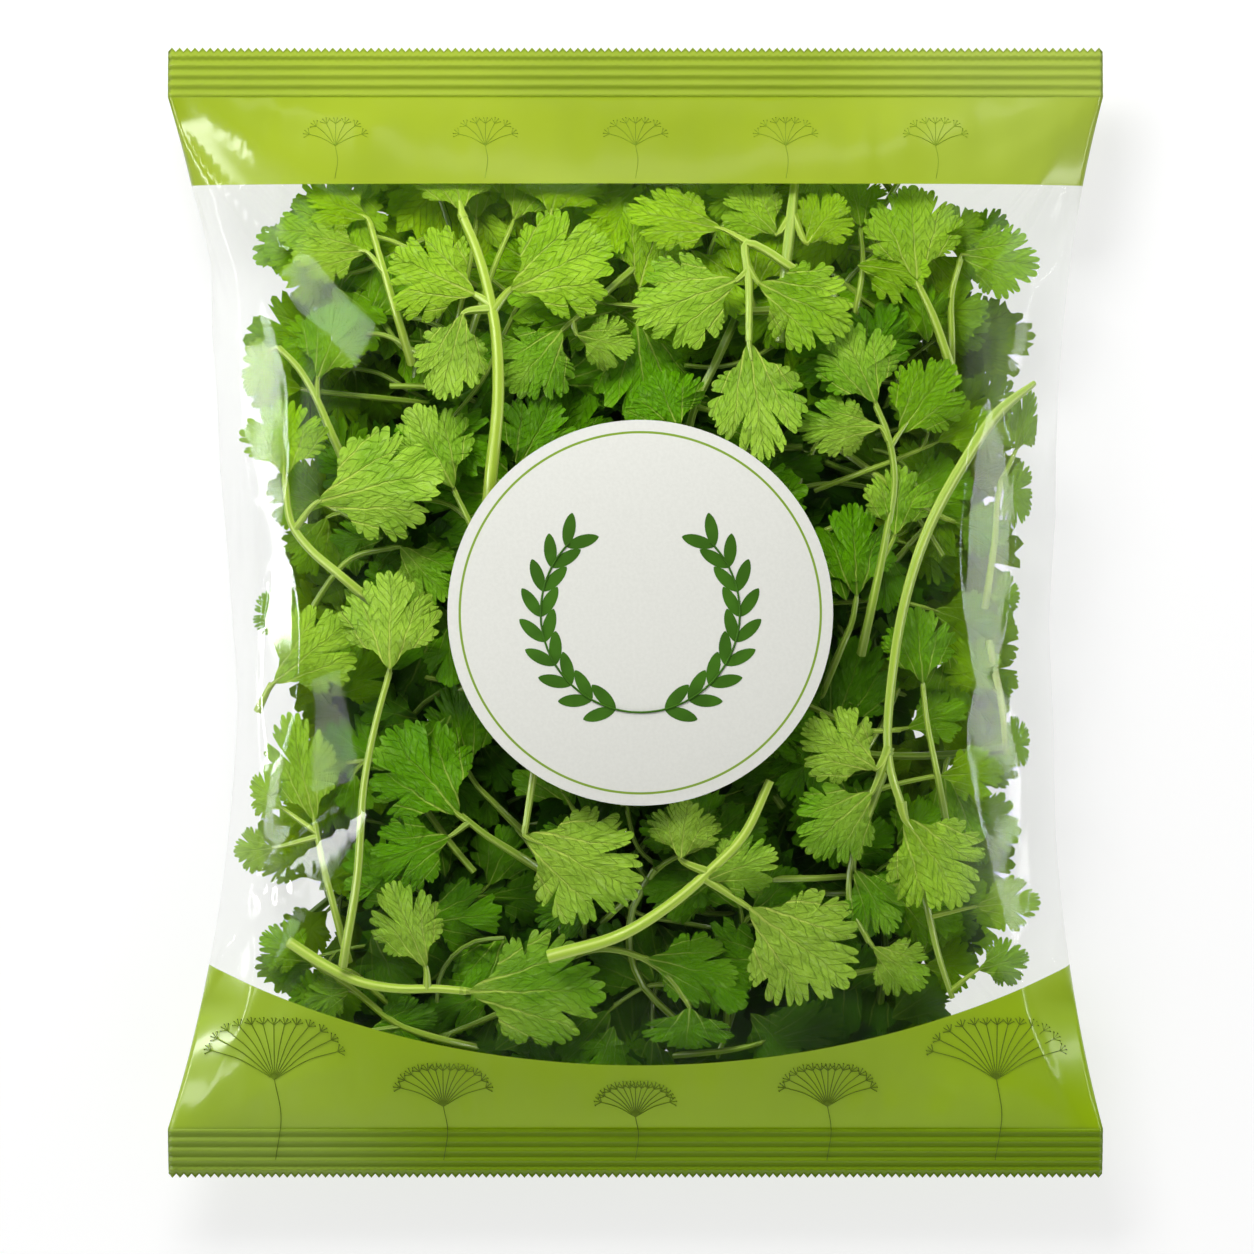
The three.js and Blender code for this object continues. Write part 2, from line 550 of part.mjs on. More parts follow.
// A leaflet's plan as [place, relief], and the facets between those points: its midrib, its left
// side, its tip, its right side, and the foot of its stalk inside the stem.
function leafletPlan(sprig, leaflet) {
  const [base, tip, wide] = leaflet;
  const long = distance(base, tip);
  const { side, notch } = sprig.deep || long < SMALL ? PLAIN : TOOTHED;
  const ahead = between([0, 0], [tip[0] - base[0], tip[1] - base[1]], 1 / long);
  const slant = Math.sin(2.4 * sprig.leaflets.indexOf(leaflet) + sprig.stem[0][0]);
  const spot = ([s, v]) => [
    [base[0] + long * (s * ahead[0] - v * wide * ahead[1]),
      base[1] + long * (s * ahead[1] + v * wide * ahead[0])],
    slant * (s - 0.4) + 0.9 * (0.35 - 3 * v * v),
  ];
  const foot = stalkFoot(sprig, leaflet);
  const lead = between([0, 0], [base[0] - foot[0], base[1] - foot[1]], STALK_HALF / distance(foot, base));
  const spots = [
    ...MIDRIB.map((s) => spot([s, 0])),
    ...side.map(spot),
    spot([1, 0]),
    ...side.toReversed().map(([s, v]) => spot([s, -v])),
    [[foot[0] + lead[1], foot[1] - lead[0]], 0],
    [[foot[0] - lead[1], foot[1] + lead[0]], 0],
  ];
  const left = (k) => 2 + k;
  const right = (k) => 2 + 2 * side.length - k;
  const facets = [[left(notch), 0, 1], [right(notch), 1, 0], [left(0), right(0), 0]];
  for (let k = 0; k < side.length; k++) {
    const rib = k < notch ? 0 : 1;
    facets.push([left(k + 1), left(k), rib], [right(k), right(k + 1), rib]);
  }
  const [footRight, footLeft] = [right(0) + 1, right(0) + 2];
  facets.push([footLeft, footRight, right(0)], [footLeft, right(0), left(0)]);
  return { spots, facets };
}

// A thin blade in that plan, laid on the sprig's level.
function bladeSolid(sprig, leaflet) {
  const { spots, facets } = leafletPlan(sprig, leaflet);
  const n = spots.length;
  const points = [1, -1].flatMap((side) => spots.map(([spot, relief]) => {
    const [x, y] = settle(spot);
    const rise = (dx, dy) => levelHeight(x + dx, y + dy, sprig.level) - levelHeight(x, y, sprig.level);
    const lean = Math.hypot(1, rise(1, 0), rise(0, 1));
    const half = Math.min((BLADE / 2) * lean, 0.5 * levelStep(x, y) - 0.16);
    return [x, y, levelHeight(x, y, sprig.level, relief) + side * half];
  }));
  const skin = facets.flatMap(([a, b, c]) => [[a, b, c], [c + n, b + n, a + n]]);
  for (let a = MIDRIB.length; a < n; a++) {
    const b = a + 1 < n ? a + 1 : MIDRIB.length;
    skin.push([a, b, b + n], [a, b + n, a + n]);
  }
  return solidOf(indexed(points, skin));
}

// A sprig as one piece: its leaflets grown into its stem.
function sprigSolid(sprig) {
  return sprig.leaflets.reduce(
    (solid, leaflet) => solid.add(bladeSolid(sprig, leaflet)), stemSolid(sprig));
}

// ---- The object ----

const film = new THREE.MeshStandardMaterial({
  color: 0xe9f2e2, roughness: 0.12, metalness: 0, transparent: true, opacity: 0.3 });
const paper = new THREE.MeshStandardMaterial({ color: 0xe9ebe4, roughness: 0.6, metalness: 0 });
const green = (level) => new THREE.MeshStandardMaterial({
  color: new THREE.Color().setHSL(0.255, 0.66, 0.36 - 0.018 * level), roughness: 0.5, metalness: 0 });

const bag = new THREE.Group();
const place = (name, solid, material) => {
  const mesh = new THREE.Mesh(geometryOf(solid), material);
  mesh.name = name;
  bag.add(mesh);
};

place("film_bag", filmBag(), film);
place("round_label", label(), paper);
for (const sprig of arrange()) place("sprig_" + sprig.place, sprigSolid(sprig), green(sprig.level));

export default bag;
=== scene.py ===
# %% [markdown]
# # A clear bag of fresh coriander
#
# The object is a pillow bag: a tube of clear film, filled with cut coriander and crimped shut at
# both ends, with a round paper label on its front. It lies on its back, and is seen from straight
# above. The rigid model is loaded first. It gives every piece its place: this lesson only makes
# finer surfaces in the same places, and gives them their finish.

import bmesh
import bpy
import numpy as np
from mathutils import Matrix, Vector


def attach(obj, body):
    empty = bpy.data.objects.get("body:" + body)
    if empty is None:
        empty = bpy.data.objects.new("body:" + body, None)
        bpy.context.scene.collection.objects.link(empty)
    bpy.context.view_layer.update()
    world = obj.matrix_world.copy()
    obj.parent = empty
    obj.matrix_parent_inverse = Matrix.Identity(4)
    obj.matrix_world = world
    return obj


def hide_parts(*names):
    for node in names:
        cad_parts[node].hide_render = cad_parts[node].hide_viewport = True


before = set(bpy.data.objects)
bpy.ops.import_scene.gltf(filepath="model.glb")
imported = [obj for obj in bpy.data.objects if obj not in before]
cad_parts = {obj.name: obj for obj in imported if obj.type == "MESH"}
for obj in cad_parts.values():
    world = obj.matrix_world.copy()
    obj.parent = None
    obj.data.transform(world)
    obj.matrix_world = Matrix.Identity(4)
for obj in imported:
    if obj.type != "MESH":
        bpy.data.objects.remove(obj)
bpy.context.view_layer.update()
print("model nodes:", len(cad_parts))

# %% [markdown]
# ## The shape of a filled bag
#
# A film tube keeps its flat width at the two seals, and draws in half-way along as it fills. Its
# front rises over the seals like a cushion, and its back hangs below them until it lies flat. A
# cloth simulation could blow such a cushion up, but a formula gives the same form with more
# control, and every leaf inside has to follow these curves too. So they come first. All of these
# helpers work in millimetres on whole arrays, and the meshes are scaled to metres at the end.

# %% The bag's width and its swelling
BAG_WIDTH, BAG_LENGTH, WAIST_WIDTH = 200.0, 242.0, 175.0
SEAL_DEPTH, SEAL_HEIGHT = 10.7, 19.0
FRONT_RISE, BACK_DROP, FILM_THICK = 34.0, 22.0, 0.5
BODY_HALF = BAG_LENGTH / 2 - SEAL_DEPTH


def bump(t, power):
    """1 in the middle, and 0 where |t| reaches 1."""
    return np.clip(1 - np.abs(t) ** power, 0, None)


def half_width(y):
    """Half the waist's width, plus a share of the rest that grows as |y| to the power 2.5."""
    return WAIST_WIDTH / 2 + (BAG_WIDTH - WAIST_WIDTH) / 2 * np.abs(y / BODY_HALF) ** 2.5


def front_swell(y):
    """How far the front has swelled at y, from 0 at the seals to 1 half-way."""
    return bump(y / BODY_HALF, 2.6) ** 0.9


def back_swell(y):
    """The same for the back, which swells more evenly."""
    return bump(y / BODY_HALF, 3) ** 0.9


def front_rise(x, y, rise=FRONT_RISE, inset=0.0):
    """A superellipse across the bag, times the swelling along it."""
    return rise * front_swell(y) * bump(x / (half_width(y) - inset), 2.2) ** (1 / 2.2)


def back_drop(x, y, inset=0.0):
    """The same two formulas for the back, squarer across the bag, as a depth below the seals."""
    return BACK_DROP * back_swell(y) * bump(x / (half_width(y) - inset), 3) ** (1 / 3)


print("middle of the bag:", SEAL_HEIGHT + front_rise(0, 0), "mm high")

# %% [markdown]
# ## Levels for the leaves
#
# Loose sprigs in a bag settle into layers. They could be dropped in by a rigid body simulation, but
# leaves are too thin and too many for that. Instead the space inside the film is shared into nine
# levels, and a sprig lies in one of them: the height of any point of it follows from its plan
# place and its level. Near the film the leaves are pressed in, so a place that would fall outside
# is eased back to just inside, instead of being cut off.

# %% Where a leaf may lie
LEVELS = 9
SIDE_ROOM, FACE_ROOM, FLOOR_ROOM, LEAF_REACH = 1.3, 1.7, 0.9, 98.0
BLADE = 0.62


def ease_into(distance, limit, share=0.9):
    """Leaves a share of the way to the limit alone; beyond it, nears the limit exponentially."""
    free = limit * share
    past = np.clip(np.abs(distance) - free, 0, None)
    eased = free + (limit - free) * (1 - np.exp(-past / (limit - free)))
    return np.where(past > 0, np.sign(distance) * eased, distance)


def settle(plan, reach=LEAF_REACH):
    """Plan points, as an (n, 2) array, pressed in from the sides and the seals."""
    along = ease_into(plan[:, 1], reach)
    across = ease_into(plan[:, 0], (half_width(along) - SIDE_ROOM) * 0.985, 0.99)
    return np.stack([across, along], 1)


def room(x, y):
    """The lowest and the highest place for a leaf."""
    high = SEAL_HEIGHT + front_rise(x, y, FRONT_RISE - FACE_ROOM, SIDE_ROOM)
    hang = SEAL_HEIGHT + FACE_ROOM - back_drop(x, y, SIDE_ROOM)
    low = np.maximum(hang, FLOOR_ROOM + FACE_ROOM)
    return low, high


def level_step(x, y):
    """The thickness of one level."""
    low, high = room(x, y)
    return (high - low) / LEVELS


def level_height(x, y, level, relief=0.0, play=1.0):
    """The middle of a level, plus relief from -1 to 1 inside the level's own room."""
    step = level_step(x, y)
    free = np.clip(np.minimum(0.3 * step, 0.5 * step - BLADE), 0, None)
    return room(x, y)[1] - (level + 0.5) * step + play * free * relief


print("one level is", round(float(level_step(0, 0)), 2), "mm thick in the middle")

# %% [markdown]
# ## The sprigs and their order
#
# Each sprig is a stem, from its cut end to its tip, with leaflets given by their base, their tip
# and their width over length. The ones that lie against the front film are placed one by one. A
# few more are laid by a seeded rule behind them. A sprig goes one level below every sprig that it
# crosses, as it would when the bag is filled, and that order is worked out from round patches
# that cover each sprig's plan.

# %% The sprigs behind the front film: the large ones
# name, radius of the stem, its points from the cut end on, and the leaflets: base, tip, width
FRONT_SPRIGS = [
    ("top_left_arch", 1.5,
     [(-30.5, 28.5), (-29, 45.5), (-29.5, 59), (-31, 67.5), (-33.5, 76.5), (-37, 85)],
     [((-37, 85.5), (-39.5, 99), 1.2), ((-34, 67.5), (-52, 76), 1.05),
      ((-36.5, 63.5), (-41.5, 45), 0.8), ((-26.5, 68.5), (-5, 79), 0.98)]),
    ("top_right_trio", 1.1,
     [(32, 74), (27.5, 77), (23.5, 78.5), (24, 70.5), (24, 57.5)],
     [((18.5, 81.5), (-2, 86), 0.64), ((21.5, 70.5), (-0.5, 62), 0.86),
      ((26, 70), (46, 60.5), 0.86), ((24, 57.5), (27.5, 32), 0.78)]),
    ("long_right", 1.6,
     [(85, 49), (77, 42.5), (70, 32.5), (63, 20), (58.5, 8), (55, -8), (53.5, -30.5), (57, -43)],
     [((51, -33), (35.5, -23.5), 0.92), ((50, -38), (35.5, -50.5), 0.92),
      ((57, -43.5), (70, -62), 0.95)]),
    ("bottom_arch", 1.4,
     [(-18.5, -73), (-3.5, -68.5), (6.5, -62.5), (16.5, -54), (23, -47), (28.5, -35.5)],
     [((9.5, -52), (11, -39.5), 1.2), ((15.5, -56.5), (30, -50.5), 0.9),
      ((24, -62.5), (46, -79), 0.93)]),
    ("bottom_left", 1.25,
     [(-74, -70), (-67, -74.5), (-59, -78.5), (-50.5, -80), (-42, -80), (-36, -80.5)],
     [((-35.5, -80.5), (-6, -80.5), 0.86), ((-44.5, -75.5), (-52.5, -57), 0.74)]),
    ("left_big", 1.1,
     [(-62, 7.5), (-69, 13.5), (-73, 19), (-74.5, 28.5)],
     [((-67.5, 23.5), (-40.5, 30.5), 0.84), ((-74.5, 29), (-75, 45.5), 1.12)]),
    ("left_column", 1,
     [(-61.5, -71), (-59, -56), (-57.5, -36.5), (-55, -23.5), (-52, -12.5)],
     [((-52, -12), (-52, 9), 1)]),
    ("right_branch", 1,
     [(50.5, 3), (53, 15), (55, 28.5), (53.5, 38), (51, 44)],
     [((52, 39.5), (34, 39.5), 0.7), ((51, 44.5), (43.5, 61.5), 0.95),
      ((56, 38), (67.5, 53.5), 0.85), ((55, 16.5), (56.5, 31.5), 0.95)]),
    ("low_left_pair", 1,
     [(-26.5, -50.5), (-32, -47), (-37, -43)],
     [((-37.5, -43), (-53, -24.5), 0.95), ((-39.5, -47.5), (-56.5, -54.5), 0.85)]),
    ("low_centre", 1,
     [(-21.5, -33.5), (-22.5, -40), (-23.5, -46.5)], [((-23.5, -47), (1, -59.5), 0.9)]),
    ("upper_centre_pair", 0.9,
     [(-7.5, 67), (-12, 63), (-15, 60.5)],
     [((-15.5, 60), (-26.5, 46.5), 1), ((-12.5, 59), (0, 56), 0.9)]),
    ("top_right_leaf", 1.1,
     [(66.5, 54.5), (63.5, 63), (60, 70.5)], [((60, 71), (58.5, 92), 0.97)]),
]
print("large sprigs:", len(FRONT_SPRIGS))

# %% The small sprigs along the edges and at the bottom
FRONT_SPRIGS += [
    ("right_edge_top", 0.9,
     [(67.5, 58.5), (67.5, 68), (69.5, 75.5)], [((69.5, 76.5), (86.5, 74), 0.9)]),
    ("centre_right", 0.9,
     [(43.5, -8), (46, -2), (47, 3)], [((47, 3.5), (46, 23.5), 0.92)]),
    ("left_edge_top", 1,
     [(-64.5, 38), (-68.5, 47), (-72, 52.5), (-76, 56.5)],
     [((-76.5, 56.5), (-89, 47.5), 0.9), ((-67.5, 50), (-61.5, 66), 0.88)]),
    ("top_left_corner", 1,
     [(-51, 64.5), (-54, 74.5), (-56.5, 83)],
     [((-57, 84), (-70, 90), 0.85), ((-57.5, 77), (-73.5, 76.5), 0.8)]),
    ("left_mid", 0.9,
     [(-80.5, -21), (-79, -18), (-77.5, -15)], [((-77, -15), (-60, -1), 0.85)]),
    ("left_glare", 0.9,
     [(-64, -62.5), (-66.5, -52.5), (-68, -44.5)],
     [((-68, -44.5), (-74, -21), 0.62), ((-75, -41.5), (-85, -35.5), 0.95),
      ((-77, -50), (-86.5, -51), 1)]),
    ("bottom_left_tail", 0.9,
     [(-42.5, -91), (-51, -87.5), (-60.5, -80), (-69, -74.5)],
     [((-56.5, -89), (-42, -85.5), 0.7), ((-61, -80.5), (-70.5, -83.5), 1),
      ((-69.5, -74), (-80, -68.5), 1)]),
    ("bottom_trail", 0.9,
     [(-17, -74.5), (-7.5, -71.5), (1.5, -73.5), (7.5, -78), (11, -83)],
     [((2.5, -73.5), (22, -78), 0.78), ((11.5, -84), (11, -95), 1.7)]),
    ("pale_right", 0.8,
     [(64, -33.5), (62, -23.5), (61, -15)], [((61, -15), (59.5, 1.5), 0.92)]),
    ("low_right_pair", 0.8,
     [(48.5, -45.5), (46, -52), (45.5, -61.5), (49.5, -70)],
     [((46.5, -54.5), (55, -68), 0.8), ((50.5, -71), (62, -79.5), 0.88)]),
    ("bottom_right_leaf", 0.8,
     [(14, -97), (21.5, -95), (27, -92.5)], [((27.5, -92), (44.5, -86.5), 0.72)]),
]
print("sprigs so far:", len(FRONT_SPRIGS))

# %% The small sprigs in the gaps
FRONT_SPRIGS += [
    ("right_low_stem", 0.9,
     [(62, -62.5), (64.5, -73), (67.5, -82)],
     [((73, -76), (84, -73), 0.9), ((72.5, -62.5), (88, -61.5), 0.75)]),
    ("right_edge_mid", 0.8,
     [(75, 5), (76.5, 15.5), (77.5, 26), (80.5, 33.5)],
     [((78, 29), (89.5, 21.5), 1.1), ((81, 34.5), (88, 47.5), 0.9),
      ((75.5, 3.5), (85, 3.5), 1.1)]),
    ("top_centre_leaf", 0.8,
     [(-16, 75), (-17, 80.5), (-18, 84.5)], [((-18, 85), (-15, 97), 1.5)]),
    ("top_right_back", 1.4,
     [(34, 93.5), (33, 83), (31.5, 70), (30.5, 57.5)],
     [((30, 80.5), (20, 90.5), 1), ((36.5, 78.5), (44, 89), 1)]),
    ("top_pale", 0.8,
     [(47, 64.5), (48.5, 74), (48, 82)], [((48, 82.5), (46, 94.5), 1.1)]),
    ("label_top_leaf", 0.8,
     [(14, 30.5), (11.5, 35), (9.5, 38.5)], [((9, 39), (4, 51), 1.3)]),
    ("label_left_leaf", 0.8,
     [(-28, 20), (-27.5, 24.5), (-25.5, 29.5)], [((-25, 30.5), (-17, 45.5), 1.05)]),
    ("left_bright", 0.8,
     [(-35.5, 20), (-37, 23), (-38.5, 26)], [((-38.5, 26.5), (-48, 44), 0.92)]),
    ("left_low_back", 0.8,
     [(-72, -6), (-67.5, 3), (-60.5, 11.5), (-51, 14)],
     [((-50, 14), (-39.5, 3), 0.95), ((-73, -4), (-80, 4), 1)]),
    ("low_left_top", 0.8,
     [(-30.5, -40), (-33.5, -37), (-35.5, -34)], [((-35.5, -33.5), (-39.5, -15), 0.82)]),
    ("right_column", 0.9,
     [(76, -10), (78, -19.5), (79, -29.5)],
     [((79, -30), (88, -25), 1.1), ((76.5, -16.5), (67.5, -6), 0.9)]),
]
print("sprigs at the front:", len(FRONT_SPRIGS))

# %% The patches of a sprig
STALK_HALF, PATCH_MARGIN, PATCH_SPACING = 0.7, 0.4, 3.0


def stalk_foot(stem, leaflets, leaflet):
    """Just inside the stem, at its point nearest to the leaflet's base."""
    base = np.array(leaflet[0], float)
    away = np.hypot(*(stem - base).T)
    near = int(away.argmin())
    inward = stem[near - 1 if near else 1]
    share = (1.4 + 0.8 * leaflets.index(leaflet)) / np.hypot(*(inward - stem[near]))
    return stem[near] + (inward - stem[near]) * share


def strip_of_patches(a, b, radius):
    """Patches of one radius, evenly along a line."""
    steps = max(1, int(np.ceil(np.hypot(*(b - a)) / PATCH_SPACING)))
    shares = np.arange(steps + 1)[:, None] / steps
    return np.hstack([a + (b - a) * shares, np.full((steps + 1, 1), radius)])


def footprint(radius, stem, leaflets):
    """Round patches that cover a sprig's plan, as rows of x, y, radius."""
    stem = np.array(stem, float)
    rows = [strip_of_patches(a, b, radius + PATCH_MARGIN) for a, b in zip(stem, stem[1:])]
    for leaflet in leaflets:
        base, tip = np.array(leaflet[0], float), np.array(leaflet[1], float)
        ahead, wide = tip - base, leaflet[2]
        aside, size = np.array([-ahead[1], ahead[0]]), np.hypot(*ahead)
        foot = stalk_foot(stem, leaflets, leaflet)
        rows.append(strip_of_patches(foot, base, STALK_HALF + PATCH_MARGIN))
        stout = max(0.8, wide)
        # one patch near the leaflet's base, two across its middle, and one at its tip
        rows.append(np.array([
            [*(base + 0.18 * ahead), 0.2 * size],
            [*(base + 0.46 * ahead - wide / 4 * aside), 0.31 * stout * size],
            [*(base + 0.46 * ahead + wide / 4 * aside), 0.31 * stout * size],
            [*(base + 0.78 * ahead), 0.33 * stout * size],
        ]))
    return np.vstack(rows)


print("patches of the first sprig:", len(footprint(*FRONT_SPRIGS[0][1:])))

# %% Which sprigs cross, and the level of each
def crosses(a, b):
    """Whether any two patches meet."""
    gaps = np.hypot(a[:, None, 0] - b[None, :, 0], a[:, None, 1] - b[None, :, 1])
    return bool((gaps < a[:, None, 2] + b[None, :, 2]).any())


def stack(sprigs):
    """Each sprig's level: one past the last level that holds a sprig it crosses."""
    laid = []
    for name, radius, stem, leaflets in sprigs:
        patches = footprint(radius, stem, leaflets)
        above = [other["level"] for other in laid if crosses(patches, other["patches"])]
        laid.append(dict(name=name, radius=radius, stem=np.array(stem, float), leaflets=leaflets,
                         patches=patches, level=max([-1, *above]) + 1))
    return laid


front = stack(FRONT_SPRIGS)
print("levels of the front sprigs:", [s["level"] for s in front])

# %% The sprigs laid by rule behind them
def number_stream(seed):
    """A seeded stream of numbers from 0 to 1, the same one that laid the model's sprigs."""
    state, mask = seed, 0xFFFFFFFF
    while True:
        state = (state + 0x6D2B79F5) & mask
        t = ((state ^ (state >> 15)) * (state | 1)) & mask
        t ^= (t + ((t ^ (t >> 7)) * (t | 61))) & mask
        yield ((t ^ (t >> 14)) & mask) / 4294967296


def loose_sprig(draw, centre):
    """A bent stem with a side leaflet, and three at its tip."""
    heading = next(draw) * 2 * np.pi
    bend = (next(draw) - 0.5) * 0.9
    middle = [centre[0] + (next(draw) - 0.5) * 24, centre[1] + (next(draw) - 0.5) * 28]
    size = 21 + 5 * next(draw)
    turns = [heading + bend * (i / 3 - 0.5) for i in range(4)]
    stem = [(middle[0] + (i - 2.2) * 12 * np.cos(t), middle[1] + (i - 2.2) * 12 * np.sin(t))
            for i, t in enumerate(turns)]

    def leaflet(foot, turn, stalk, size):
        base = (foot[0] + stalk * np.cos(turn), foot[1] + stalk * np.sin(turn))
        return base, (base[0] + size * np.cos(turn), base[1] + size * np.sin(turn)), 0.92

    end = heading + bend / 2
    side = 1.7 if next(draw) > 0.5 else -1.7
    return 1, stem, [
        leaflet(stem[1], heading + side, 4, size * 0.8), leaflet(stem[3], end, 3, size),
        leaflet(stem[3], end + 1.75, 4, size * 0.9), leaflet(stem[3], end - 1.75, 4, size * 0.9)]


def lay_behind(front, seed=13, columns=4, rows=4, spacing=(36, 42)):
    """One sprig for each cell of a grid, drawn again until it lies clear below the front ones."""
    back, draw = [], number_stream(seed)
    for cell in range(columns * rows):
        centre = ((cell % columns - (columns - 1) / 2) * spacing[0],
                  (cell // columns - (rows - 1) / 2) * spacing[1])
        for _ in range(400):
            radius, stem, leaflets = loose_sprig(draw, centre)
            patches = footprint(radius, stem, leaflets)
            below = [s["level"] for s in back if crosses(patches, s["patches"])]
            above = [s["level"] for s in front if crosses(patches, s["patches"])]
            level = min([LEVELS, *below]) - 1
            inside = (np.abs(patches[:, 0]) < 82).all() and (np.abs(patches[:, 1]) < 92).all()
            if level > max([-1, *above]) and inside:
                back.append(dict(name=f"inner_{len(back) + 1:02d}", radius=radius,
                                 stem=np.array(stem), leaflets=leaflets, patches=patches,
                                 level=level))
                break
    return back


inner = lay_behind(front)
print("levels of the inner sprigs:", [s["level"] for s in inner])

# %% [markdown]
# ## Shader maths as ordinary expressions
#
# A procedural finish is a sum of masks, and wiring dozens of Math nodes by hand hides what it
# does. One small class wraps a socket, so that an expression such as 1 - mask adds its own nodes.
# Colours go through Mix nodes, because a Math node would turn them grey.

# %% A socket with arithmetic
class Wire:
    """An output socket that can be added, multiplied and so on."""

    def __init__(self, finish, socket):
        self.finish, self.socket = finish, socket

    def math(self, operation, *others):
        return self.finish.node("ShaderNodeMath", {"operation": operation},
                                dict(enumerate((self, *others))))

    def __add__(self, other):
        return self.math("ADD", other)

    def __mul__(self, other):
        return self.math("MULTIPLY", other)

    def __sub__(self, other):
        return self.math("SUBTRACT", other)

    def __rsub__(self, other):
        return self.finish.node("ShaderNodeMath", {"operation": "SUBTRACT"}, {0: other, 1: self})

    def __truediv__(self, other):
        return self.math("DIVIDE", other)

    def __abs__(self):
        return self.math("ABSOLUTE")

    __radd__, __rmul__ = __add__, __mul__

    def step(self, low, high):
        """Rises smoothly from 0 at low to 1 at high, or falls if low is the larger."""
        ends = (low, high, 0.0, 1.0) if low < high else (high, low, 1.0, 0.0)
        return self.finish.node(
            "ShaderNodeMapRange", {"interpolation_type": "SMOOTHSTEP"},
            {"Value": self, **dict(zip(("From Min", "From Max", "To Min", "To Max"), ends))})


print("a wire knows:", sorted(key.strip("_") for key in vars(Wire) if callable(vars(Wire)[key])))

# %% A material that holds the nodes
class Finish:
    """The nodes of a new material, or of the given world, built from expressions."""

    def __init__(self, name, world=None):
        self.material = world or bpy.data.materials.new(name)
        self.material.use_nodes = True
        self.nodes = self.material.node_tree.nodes
        self.nodes.clear()

    def node(self, kind, settings=None, sockets=None, out=0):
        """Any node: its settings first, then the values or links of its sockets."""
        made = self.nodes.new(kind)
        for key, value in (settings or {}).items():
            setattr(made, key, value)
        for key, value in (sockets or {}).items():
            if isinstance(value, Wire):
                self.material.node_tree.links.new(value.socket, made.inputs[key])
            else:
                made.inputs[key].default_value = value
        return Wire(self, made.outputs[out])

    def split(self, vector):
        """The X, Y and Z of a vector."""
        first = self.node("ShaderNodeSeparateXYZ", None, {0: vector})
        return [Wire(self, s) for s in first.socket.node.outputs]

    def place(self):
        """Where a point lies on the object, in metres."""
        return self.node("ShaderNodeTexCoord", out=3)

    def attribute(self, name):
        """A number that the mesh carries for each of its points."""
        return self.node("ShaderNodeAttribute", {"attribute_name": name}, out=2)

    def mix(self, share, a, b):
        return self.node("ShaderNodeMix", {"data_type": "RGBA"}, {0: share, 6: a, 7: b}, out=2)

    def noise(self, vector, scale, detail=2.0, roughness=0.5):
        return self.node("ShaderNodeTexNoise", None, {
            "Vector": vector, "Scale": scale, "Detail": detail, "Roughness": roughness})

    def blend(self, share, a, b):
        return self.node("ShaderNodeMixShader", None, {0: share, 1: a, 2: b})

    def bumped(self, height, distance, strength=1.0):
        """A normal from a height; distance is in metres."""
        return self.node("ShaderNodeBump", None, {
            "Height": height, "Distance": distance, "Strength": strength})

    def done(self, shader, output="ShaderNodeOutputMaterial"):
        end = self.nodes.new(output)
        self.material.node_tree.links.new(shader.socket, end.inputs[0])
        return self.material


print("a finish can make:", [key for key in vars(Finish) if not key.startswith("_")])

# %% [markdown]
# ## From arrays to a mesh
#
# Every surface below comes as a small bundle: its points, its faces, a leaf coordinate for each
# point, a tone from deep to pale, which on leaves and stems holds painted shade and light, a
# painted backlight from green to lime, and which of the piece's finishes it takes. Several bundles
# joined together make one piece, such as a stem with its leaflets.

# %% Bundles of points and faces
def bundle(points, faces, uv=None, tone=0.5, warm=0.0, finish=0):
    """points (n, 3) in millimetres; faces is a list of index arrays, of quads or of triangles."""
    n = len(points)
    return dict(points=points, faces=faces, uv=np.zeros((n, 2)) if uv is None else uv,
                tone=np.broadcast_to(tone, (n,)), warm=np.broadcast_to(warm, (n,)), finish=finish)


print("a bundle holds:", list(bundle(np.zeros((1, 3)), [])))

# %% One piece from many bundles
def new_piece(name, bundles, materials, slot, sharp=0.9):
    """Joins bundles into one smooth-shaded piece that rides with the bag."""
    start = np.cumsum([0] + [len(b["points"]) for b in bundles])
    faces, finishes = [], []
    for b, first in zip(bundles, start):
        for group in b["faces"]:
            faces += (group + first).tolist()
            finishes += [b["finish"]] * len(group)
    mesh = bpy.data.meshes.new(name)
    mesh.from_pydata((np.vstack([b["points"] for b in bundles]) * 0.001).tolist(), [], faces)
    mesh.polygons.foreach_set("material_index", finishes)
    corner = np.empty(len(mesh.loops), np.int32)
    mesh.loops.foreach_get("vertex_index", corner)
    uv = np.vstack([b["uv"] for b in bundles])[corner]
    mesh.uv_layers.new(name="leaf").uv.foreach_set("vector", uv.astype(np.float32).ravel())
    for key in ("tone", "warm"):
        values = np.concatenate([b[key] for b in bundles]).astype(np.float32)
        mesh.attributes.new(key, "FLOAT", "POINT").data.foreach_set("value", values)
    mesh.shade_smooth()
    mesh.set_sharp_from_angle(angle=sharp)
    for material in materials:
        mesh.materials.append(material)
    piece = bpy.data.objects.new(name, mesh)
    bpy.context.scene.collection.objects.link(piece)
    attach(piece, "root")
    return piece


def ring_faces(rings, flip=False):
    """Quads between closed rings of points; rings holds one row of indices for each ring."""
    a, b = (rings[1:], rings[:-1]) if flip else (rings[:-1], rings[1:])
    return np.stack([a, np.roll(a, -1, 1), np.roll(b, -1, 1), b], -1).reshape(-1, 4)


def fan_faces(centre, ring, flip=False):
    """Triangles from a centre point to a closed ring of points."""
    a, b = (np.roll(ring, -1), ring) if flip else (ring, np.roll(ring, -1))
    return np.stack([np.full_like(a, centre), a, b], -1)


print("faces between two rings of four points:", len(ring_faces(np.arange(8).reshape(2, 4))))

